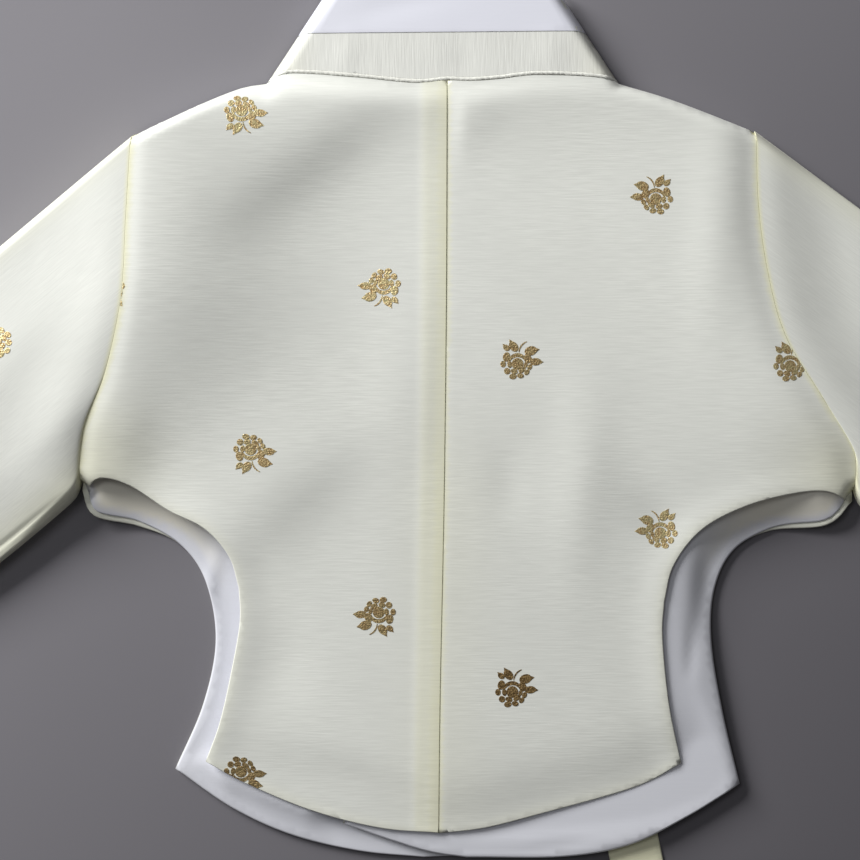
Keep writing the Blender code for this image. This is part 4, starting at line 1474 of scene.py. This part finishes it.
@dataclass
class FoilFlower:
    """The printed flower: a round heart, a crescent over it, two rings of petals, five leaves and a stem."""

    thickness: float = 0.05
    heart: float = 2.15
    spread: float = 1.16
    arc_steps: int = 12
    shapes: Sequence[Petal] = (
        Petal(-3.3, -0.2, 0.85, 1.3, 8), Petal(-1.4, -3.1, 1.3, 0.95, -20), Petal(1.9, -2.5, 1.45, 0.95, 38),
        Petal(3.4, -0.4, 0.7, 1.15, -14),
        Petal(-4.6, 2.9, 1.3, 1.75, -14), Petal(-6.0, -0.1, 1.0, 1.2, 0), Petal(-4.3, -3.0, 1.15, 1.2, 30),
        Petal(-1.9, -5.2, 1.35, 1.05, 8), Petal(1.2, -4.9, 1.25, 0.95, -12),
        Petal(3.9, -3.5, 0.85, 1.15, -38), Petal(5.1, -1.3, 0.85, 1.15, -24),
        Petal(5.5, 5.4, 2.3, 1.7, 18, 1.2), Petal(4.2, 2.2, 1.35, 1.75, 10, 0.3),
        Petal(7.5, 0.9, 2.1, 1.35, 4, 1.0),
        Petal(-1.6, 7.2, 2.1, 1.5, 128, 1.2), Petal(-4.6, 6.7, 1.35, 1.05, 142, 0.8),
    )
    bands: Sequence[Arc] = (Arc(0.0, 0.0, 3.7, 1.7, 18, 144), Arc(5.6, 4.6, 5.0, 0.62, 110, 68))

    def petal(self, petal: Petal) -> bpy.types.Object:
        """Models one petal or leaf.

        Args:
            petal: Its sizes.

        Returns:
            A raised pad with a lower rim.
        """
        only()
        bpy.ops.mesh.primitive_circle_add(vertices=14, radius=1.0, fill_type="NGON")
        pad = bpy.context.object
        set_mode("EDIT")
        bpy.ops.mesh.select_all(action="SELECT")
        bpy.ops.transform.resize(value=(petal.wide * self.spread, petal.tall * self.spread, 1))
        if petal.tip:
            self.draw_out(pad, petal)
        bpy.ops.mesh.select_all(action="SELECT")
        bpy.ops.mesh.inset(thickness=0.28, depth=self.thickness * 0.5)
        set_mode("OBJECT")
        turn = math.radians(petal.turn)
        spin = np.array([[math.cos(turn), math.sin(turn)], [-math.sin(turn), math.cos(turn)]])
        for corner in pad.data.vertices:
            x, y = np.array(corner.co[:2]) @ spin + (petal.x, petal.y)
            corner.co = (x, y, corner.co.z)
        return pad

    def draw_out(self, pad: bpy.types.Object, petal: Petal) -> None:
        """Draws the end of a leaf out to its tip."""
        set_mode("OBJECT")
        furthest = max(pad.data.vertices, key=lambda corner: corner.co.x).index
        pick(pad, Part.VERT, lambda corner: corner.index == furthest)
        bpy.ops.transform.translate(value=(petal.tip, 0, 0))

    def band(self, arc: Arc) -> bpy.types.Object:
        """Models the crescent or the stem: a chain of squares spun round the arc's middle."""
        only()
        bpy.ops.mesh.primitive_plane_add(size=1.0)
        strip = bpy.context.object
        set_mode("EDIT")
        bpy.ops.mesh.select_all(action="SELECT")
        bpy.ops.transform.resize(value=(arc.width, 0.02, 1))
        bpy.ops.transform.translate(value=(arc.radius, 0, 0))
        corners = strip.data.vertices
        pick(strip, Part.EDGE, lambda edge: min(corners[index].co.y for index in edge.vertices) > 0)
        turn = math.radians(arc.sweep / self.arc_steps)
        for _ in range(self.arc_steps):
            bpy.ops.mesh.extrude_edges_move()
            bpy.ops.transform.rotate(value=-turn, orient_axis="Z", center_override=(0, 0, 0))
        set_mode("OBJECT")
        for corner in strip.data.vertices:
            x, y = corner.co.x, corner.co.y
            angle, reach = math.atan2(y, x), math.hypot(x, y)
            share = min(max(angle / math.radians(arc.sweep), 0), 1)
            reach = arc.radius + (reach - arc.radius) * (0.35 + 0.65 * math.sin(math.pi * share) ** 0.6)
            angle += math.radians(arc.start)
            corner.co = (arc.x + reach * math.cos(angle), arc.y + reach * math.sin(angle), 0)
        return strip

    def model(self) -> bpy.types.Object:
        """Models the whole flower once, upright, round its own heart.

        Returns:
            The flower in millimetres, a few hundredths thick.
        """
        parts = [self.petal(Petal(0, 0, self.heart, self.heart))]
        parts += [self.petal(shape) for shape in self.shapes]
        parts += [self.band(arc) for arc in self.bands]
        only(*parts)
        bpy.ops.object.join()
        flower = bpy.context.object
        flower.name = "flower_pattern"
        set_mode("EDIT")
        bpy.ops.mesh.select_all(action="SELECT")
        bpy.ops.mesh.remove_doubles(threshold=0.001)
        bpy.ops.mesh.normals_make_consistent(inside=False)
        pick(flower, Part.FACE, lambda face: face.normal.z < 0)
        bpy.ops.mesh.flip_normals()
        set_mode("OBJECT")
        wall = flower.modifiers.new("foil", "SOLIDIFY")
        wall.thickness = self.thickness
        wall.offset = 1.0
        bpy.ops.object.modifier_apply(modifier=wall.name)
        return flower


@dataclass(frozen=True)
class Bloom:
    """Where one printed flower's heart lies, how far it is turned, whether it is mirrored, and its painted
    reflection: how bright its foil is painted, as if it caught the light.
    """

    x: float
    y: float
    turn: float = 0.0
    mirrored: bool = False
    shine: float = 0.75


@dataclass
class Print:
    """The flowers printed on one piece, draped on it and cut off at its edge."""

    piece: bpy.types.Object
    name: str
    blooms: Sequence[Bloom]
    outline: Optional[Plan] = None
    clearance: float = 0.05
    drop: float = 100.0

    def build(self, pattern: bpy.types.Object, foil: bpy.types.Material) -> bpy.types.Object:
        """Copies, drapes and joins the flowers.

        Args:
            pattern: The flower modelled once.
            foil: Its finish.

        Returns:
            One joined piece of foil.
        """
        cloth = self.piece.data
        ground = BVHTree.FromPolygons([corner.co.copy() for corner in cloth.vertices],
                                      [tuple(face.vertices) for face in cloth.polygons])
        flowers = []
        for bloom in self.blooms:
            flower = pattern.copy()
            flower.data = pattern.data.copy()
            bpy.context.scene.collection.objects.link(flower)
            self.drape(flower, bloom, ground)
            flowers.append(flower)
        only(*flowers)
        bpy.ops.object.join()
        foil_piece = bpy.context.object
        foil_piece.name = self.name
        foil_piece.data.name = self.name
        foil_piece.data.materials.clear()
        foil_piece.data.materials.append(foil)
        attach(foil_piece, "root")
        log.info("%s: %d flowers", self.name, len(self.blooms))
        return foil_piece

    def drape(self, flower: bpy.types.Object, bloom: Bloom, ground: BVHTree) -> None:
        """Moves one flower to its place and lays it on the cloth."""
        turn = math.radians(bloom.turn)
        mirror = -1 if bloom.mirrored else 1
        flat = np.array([tuple(corner.co) for corner in flower.data.vertices])
        x = mirror * flat[:, 0] * math.cos(turn) - flat[:, 1] * math.sin(turn) + bloom.x
        y = mirror * flat[:, 0] * math.sin(turn) + flat[:, 1] * math.cos(turn) + bloom.y
        if bloom.mirrored:
            flower.data.flip_normals()
        plan = np.column_stack([x, y])
        passed = np.zeros(len(plan), bool)
        if self.outline is not None:
            passed = ~inside(self.outline, plan)
            plan = self.drawn_in(plan, passed)
        for corner, (here_x, here_y), height in zip(flower.data.vertices, plan, flat[:, 2]):
            start = Vector((here_x * MM, here_y * MM, self.drop * MM))
            hit = ground.ray_cast(start, Vector((0, 0, -1)))[0]
            level = hit.z / MM if hit else 0.0
            corner.co = Vector((here_x, here_y, level + self.clearance + height)) * MM
        # painted reflection: how bright this flower's foil is painted
        shine = flower.data.attributes.new("shine", "FLOAT", "POINT")
        shine.data.foreach_set("value", np.full(len(flower.data.vertices), bloom.shine))
        if passed.any():
            self.cut_off(flower, passed)

    def drawn_in(self, plan: Plan, passed: np.ndarray) -> Plan:
        """Points moved back on to the edge of the piece where they pass it."""
        start, end = self.outline, np.roll(self.outline, -1, axis=0)
        span = end - start
        reach = np.maximum((span ** 2).sum(1), 1e-9)
        drawn = plan.copy()
        for index in np.flatnonzero(passed):
            part = np.clip(((plan[index] - start) * span).sum(1) / reach, 0, 1)
            feet = start + part[:, None] * span
            nearest = feet[np.argmin(((feet - plan[index]) ** 2).sum(1))]
            inward = (nearest - plan[index]) / max(math.dist(nearest, plan[index]), 1e-6)
            drawn[index] = nearest + 0.2 * inward
        return drawn

    def cut_off(self, flower: bpy.types.Object, passed: np.ndarray) -> None:
        """Removes every shape of a flower that lies wholly past its piece's edge."""
        loose = list(range(len(flower.data.vertices)))

        def root(index: int) -> int:
            """The lowest corner of the shape that a corner belongs to."""
            while loose[index] != index:
                index = loose[index]
            return index
        for edge in flower.data.edges:
            first, second = root(edge.vertices[0]), root(edge.vertices[1])
            loose[max(first, second)] = min(first, second)
        kept = {root(index) for index in np.flatnonzero(~passed)}
        only(flower)
        pick(flower, Part.VERT, lambda corner: root(corner.index) not in kept)
        bpy.ops.mesh.delete(type="VERT")
        set_mode("OBJECT")


# ---------------------------------------------------------------- the studio

@dataclass
class Studio:
    """A floor painted darker from the upper left to the lower right as painted light falloff, one large soft
    light from the upper left, a weak fill, and a camera straight above.
    """

    middle: tuple[float, float] = (-5.4, 11.5)
    camera_height: float = 856.0
    lens: float = 85.0

    def build(self) -> None:
        """Makes the floor, the lights, the surroundings and the camera."""
        self.floor()
        self.light("key", (-1349, 1102, 811), 840, 59.6, (1.0, 0.995, 0.98))
        self.light("soft box", (-560, 460, 1500), 520, 3.4, (0.95, 0.97, 1.0))
        world = bpy.data.worlds.new("studio")
        world.use_nodes = True
        surround = world.node_tree.nodes["Background"]
        Wiring(world.node_tree).feed(surround, Color=(1.0, 0.985, 0.975, 1), Strength=0.1)
        bpy.context.scene.world = world
        bpy.context.scene.view_settings.view_transform = "Standard"
        data = bpy.data.cameras.new("camera")
        data.lens = self.lens
        data.clip_start = 0.01
        camera = bpy.data.objects.new("camera", data)
        camera.location = Vector((*self.middle, self.camera_height)) * MM
        bpy.context.scene.collection.objects.link(camera)
        bpy.context.scene.camera = camera

    def light(self, name: str, place: tuple[float, float, float], size: float, power: float,
              colour: Colour) -> None:
        """Makes one square light that faces the jacket.

        Args:
            name: The light's name.
            place: Where it stands.
            size: The length of its side.
            power: Its power in watts.
            colour: Its colour.
        """
        data = bpy.data.lights.new(name, "AREA")
        data.size = size * MM
        data.energy = power
        data.color = colour
        light = bpy.data.objects.new(name, data)
        light.location = Vector(place) * MM
        light.rotation_euler = (-light.location).to_track_quat("-Z", "Y").to_euler()
        bpy.context.scene.collection.objects.link(light)

    def floor(self) -> None:
        """Makes the floor, painted darker from the upper left to the lower right as painted light falloff,
        under a faint random cloud.
        """
        only()
        bpy.ops.mesh.primitive_plane_add(size=6.0, location=(0, 0, -0.0002))
        floor = bpy.context.object
        floor.name = "floor"
        material, wire, shader = new_material("pale_paper")
        place = wire.add("TexCoord").outputs["Object"]
        apart = wire.add("SeparateXYZ", Vector=place)
        # painted light falloff: the floor's colour runs from lighter at the upper left to darker at the lower
        # right, as if the light fell off
        along = wire.maths("SUBTRACT", apart.outputs[0], apart.outputs[1])
        cloud = wire.maths("MULTIPLY_ADD", wire.noise(place, (6, 6, 6), 2.0), 0.08, along)
        colour = wire.mix(wire.spread(cloud, -0.30, 0.38), (0.240, 0.233, 0.254, 1), (0.125, 0.120, 0.134, 1))
        wire.feed(shader, Base_Color=colour, Roughness=0.9, Specular_IOR_Level=0.1)
        floor.data.materials.append(material)


# ---------------------------------------------------------------- the jacket

NECK_CREASE = Crease(30, 168, 0, 66, 28, 3.4)
BACK_CREASES = {
    Side.LEFT: (
        Ledge(-50, 124, 36, 48, 14, 4.6),
        Ledge(-60, -20, 39, 40, 15, 3.6),
        Crease(-18, 20, 82, 60, 16, 0.6),
        Crease(-134, 4, 84, 26, 14, 1.5),
        Crease(-68, -88, 80, 16, 13, -0.6),
        Crease(-40, -134, 165, 34, 9, -0.8),
    ),
    Side.RIGHT: (
        Crease(10, 143, 60, 16, 12, 0.9),
        Crease(114, 98, 88, 42, 11, 1.0),
        Crease(58, -12, 86, 38, 13, 1.3),
        Crease(92, -28, 130, 18, 10, -1.2),
        Crease(27, -12, 88, 16, 9, -0.5),
    ),
}
SLEEVE_CREASES = {
    Side.LEFT: (
        Crease(-178, 70, 50, 40, 18, -0.3),
        Crease(-200, 22, 45, 50, 14, 1.3),
        Crease(-235, -12, 55, 40, 12, -1.0),
        Crease(-255, 28, 30, 50, 12, 0.9),
    ),
    Side.RIGHT: (
        Crease(160, 92, 110, 46, 12, -0.5),
        Crease(200, 35, 130, 50, 16, 1.0),
        Crease(232, 5, 125, 40, 12, -0.9),
        Crease(262, 30, 150, 44, 12, 0.8),
    ),
}
LINING_CREASES = {
    Side.LEFT: (
        Crease(-100, -60, 75, 22, 3.0, 0.9),
        Crease(-92, -134, 120, 8, 4.0, 0.8),
        Crease(-60, -150, 160, 26, 3.0, -0.6),
    ),
    Side.RIGHT: (
        Crease(84, -154, 22, 26, 4.5, 1.0),
        Crease(104, -80, 80, 26, 3.4, -0.7),
        Crease(60, -158, 10, 20, 3.0, -0.5),
    ),
}
COLLAR_CREASES = (
    Crease(-40, 168, 84, 8, 5, 0.35),
    Crease(8, 166, 96, 9, 6, -0.3),
    Crease(46, 170, 70, 9, 7, 0.4),
    Crease(-20, 188, 10, 20, 5, -0.3),
)
TIES = (
    Tie("tie_long", ((19, 42), (36, 26), (50, -16), (66, -98), (80, -162), (103, -270))),
    Tie("tie_short", ((65, 36), (74, -5), (90, -84), (101, -135))),
)
BLOOMS = {
    "back_left": (Bloom(-83, 143.1, 180, True, 1.0), Bloom(-24.7, 72.3, 180, False, 0.9),
                  Bloom(-79.7, 3.5, 180, True, 0.55), Bloom(-26.8, -64.4, 180, False, 0.3),
                  Bloom(-84.4, -131.2, 180, True, 0.2), Bloom(-137.5, 70.5, 180, False, 0.6)),
    "back_right": (Bloom(88.6, 107.7, 0, True, 0.45), Bloom(31.0, 39.0, 0, False, 0.35),
                   Bloom(144.3, 38.1, 0), Bloom(90.7, -31.5, 0, True, 0.85),
                   Bloom(28.9, -97.7, 0, False, 0.0)),
    "sleeve_left": (Bloom(-184, 48, 140), Bloom(-224, 26, 140, True), Bloom(-208, -34, 140, True),
                    Bloom(-258, -32, 140)),
    "sleeve_right": (Bloom(194, 60, 40), Bloom(200, 4, 40, True), Bloom(240, 22, 40, True),
                     Bloom(262, -22, 40)),
}


class Jacket:
    """The whole jacket, piece by piece."""

    def __init__(self) -> None:
        """Makes the finishes and the workroom."""
        finishes = Finishes()
        finishes.make()
        self.room = Workroom(finishes)
        self.panels: dict[str, Panel] = {}
        left, right = CUTS[Side.LEFT], CUTS[Side.RIGHT]
        self.backs = {
            Side.LEFT: BackHalf(left, creases=BACK_CREASES[Side.LEFT]),
            Side.RIGHT: BackHalf(right, underarm_rise=3.0, roll_height=2.5, seam_dip=1.5, seam_reach=8.0,
                                 edge_lift=1.0, lip_dip=1.0, side_fall=0.02,
                                 creases=BACK_CREASES[Side.RIGHT]),
        }
        self.sleeves = {
            Side.LEFT: Sleeve(self.backs[Side.LEFT], creases=SLEEVE_CREASES[Side.LEFT]),
            Side.RIGHT: Sleeve(self.backs[Side.RIGHT], crown=5.2, cuff_level=4.8, tilt=0.1, rise=2.4,
                               rise_reach=8.0, blend=22.0, creases=SLEEVE_CREASES[Side.RIGHT]),
        }

    def build(self) -> None:
        """Makes every piece, from the lowest layer up, prints the gold flowers and works out each sheet's
        cut.
        """
        ground = inner_base()
        for tie in TIES:
            self.panels[tie.node] = tie.build(self.room)
        fronts = (Front(CUTS[Side.LEFT], flat_level(0), self.backs[Side.LEFT], inner=False,
                        creases=LINING_CREASES[Side.LEFT]),
                  Front(CUTS[Side.RIGHT], ground, self.backs[Side.RIGHT], inner=True, curl=4.2,
                        creases=LINING_CREASES[Side.RIGHT]))
        for front in fronts:
            self.panels |= front.build(self.room)
        self.panels |= Collar(ground, creases=COLLAR_CREASES).build(self.room)
        for side in Side:
            self.backs[side].build(self.room)
            self.panels["back_" + side.word] = self.backs[side].panel()
            self.sleeves[side].build(self.room)
        self.declare(self.print_flowers())

    def print_flowers(self) -> dict[str, bpy.types.Object]:
        """Prints the gold flowers.

        Returns:
            The foil on each piece, by the piece's node.
        """
        pattern = FoilFlower().model()
        foil = {}
        for node, blooms in BLOOMS.items():
            outline = self.panels[node].outline if node in self.panels else None
            sheet = Print(self.room.pieces[node], "flowers_" + node, blooms, outline)
            foil[node] = sheet.build(pattern, self.room.finishes.foil)
        bpy.data.objects.remove(pattern)
        return foil

    def declare(self, foil: dict[str, bpy.types.Object]) -> None:
        """Works out the cut size and area of each sheet, and what it lies on, without keeping them."""
        fronts = ["front_outer_cloth", "front_inner_cloth"]
        below = {"back": ["lining_outer_cloth", "lining_inner_cloth"], "collar": fronts, "lining": fronts}
        cuts = {**self.panels, **{"sleeve_" + side.word: sleeve for side, sleeve in self.sleeves.items()}}
        for node, piece in self.room.pieces.items():
            if node == "collar_welt":
                continue
            cut, rests_on = cuts[node], below.get(node.split("_")[0], ["floor"])
            cut.size()
            cut.area()


def main() -> None:
    """Builds the studio and the jacket."""
    logging.basicConfig(level=logging.INFO, format="%(name)s: %(message)s")
    Studio().build()
    Jacket().build()
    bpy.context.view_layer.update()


if __name__ == "__main__":
    main()
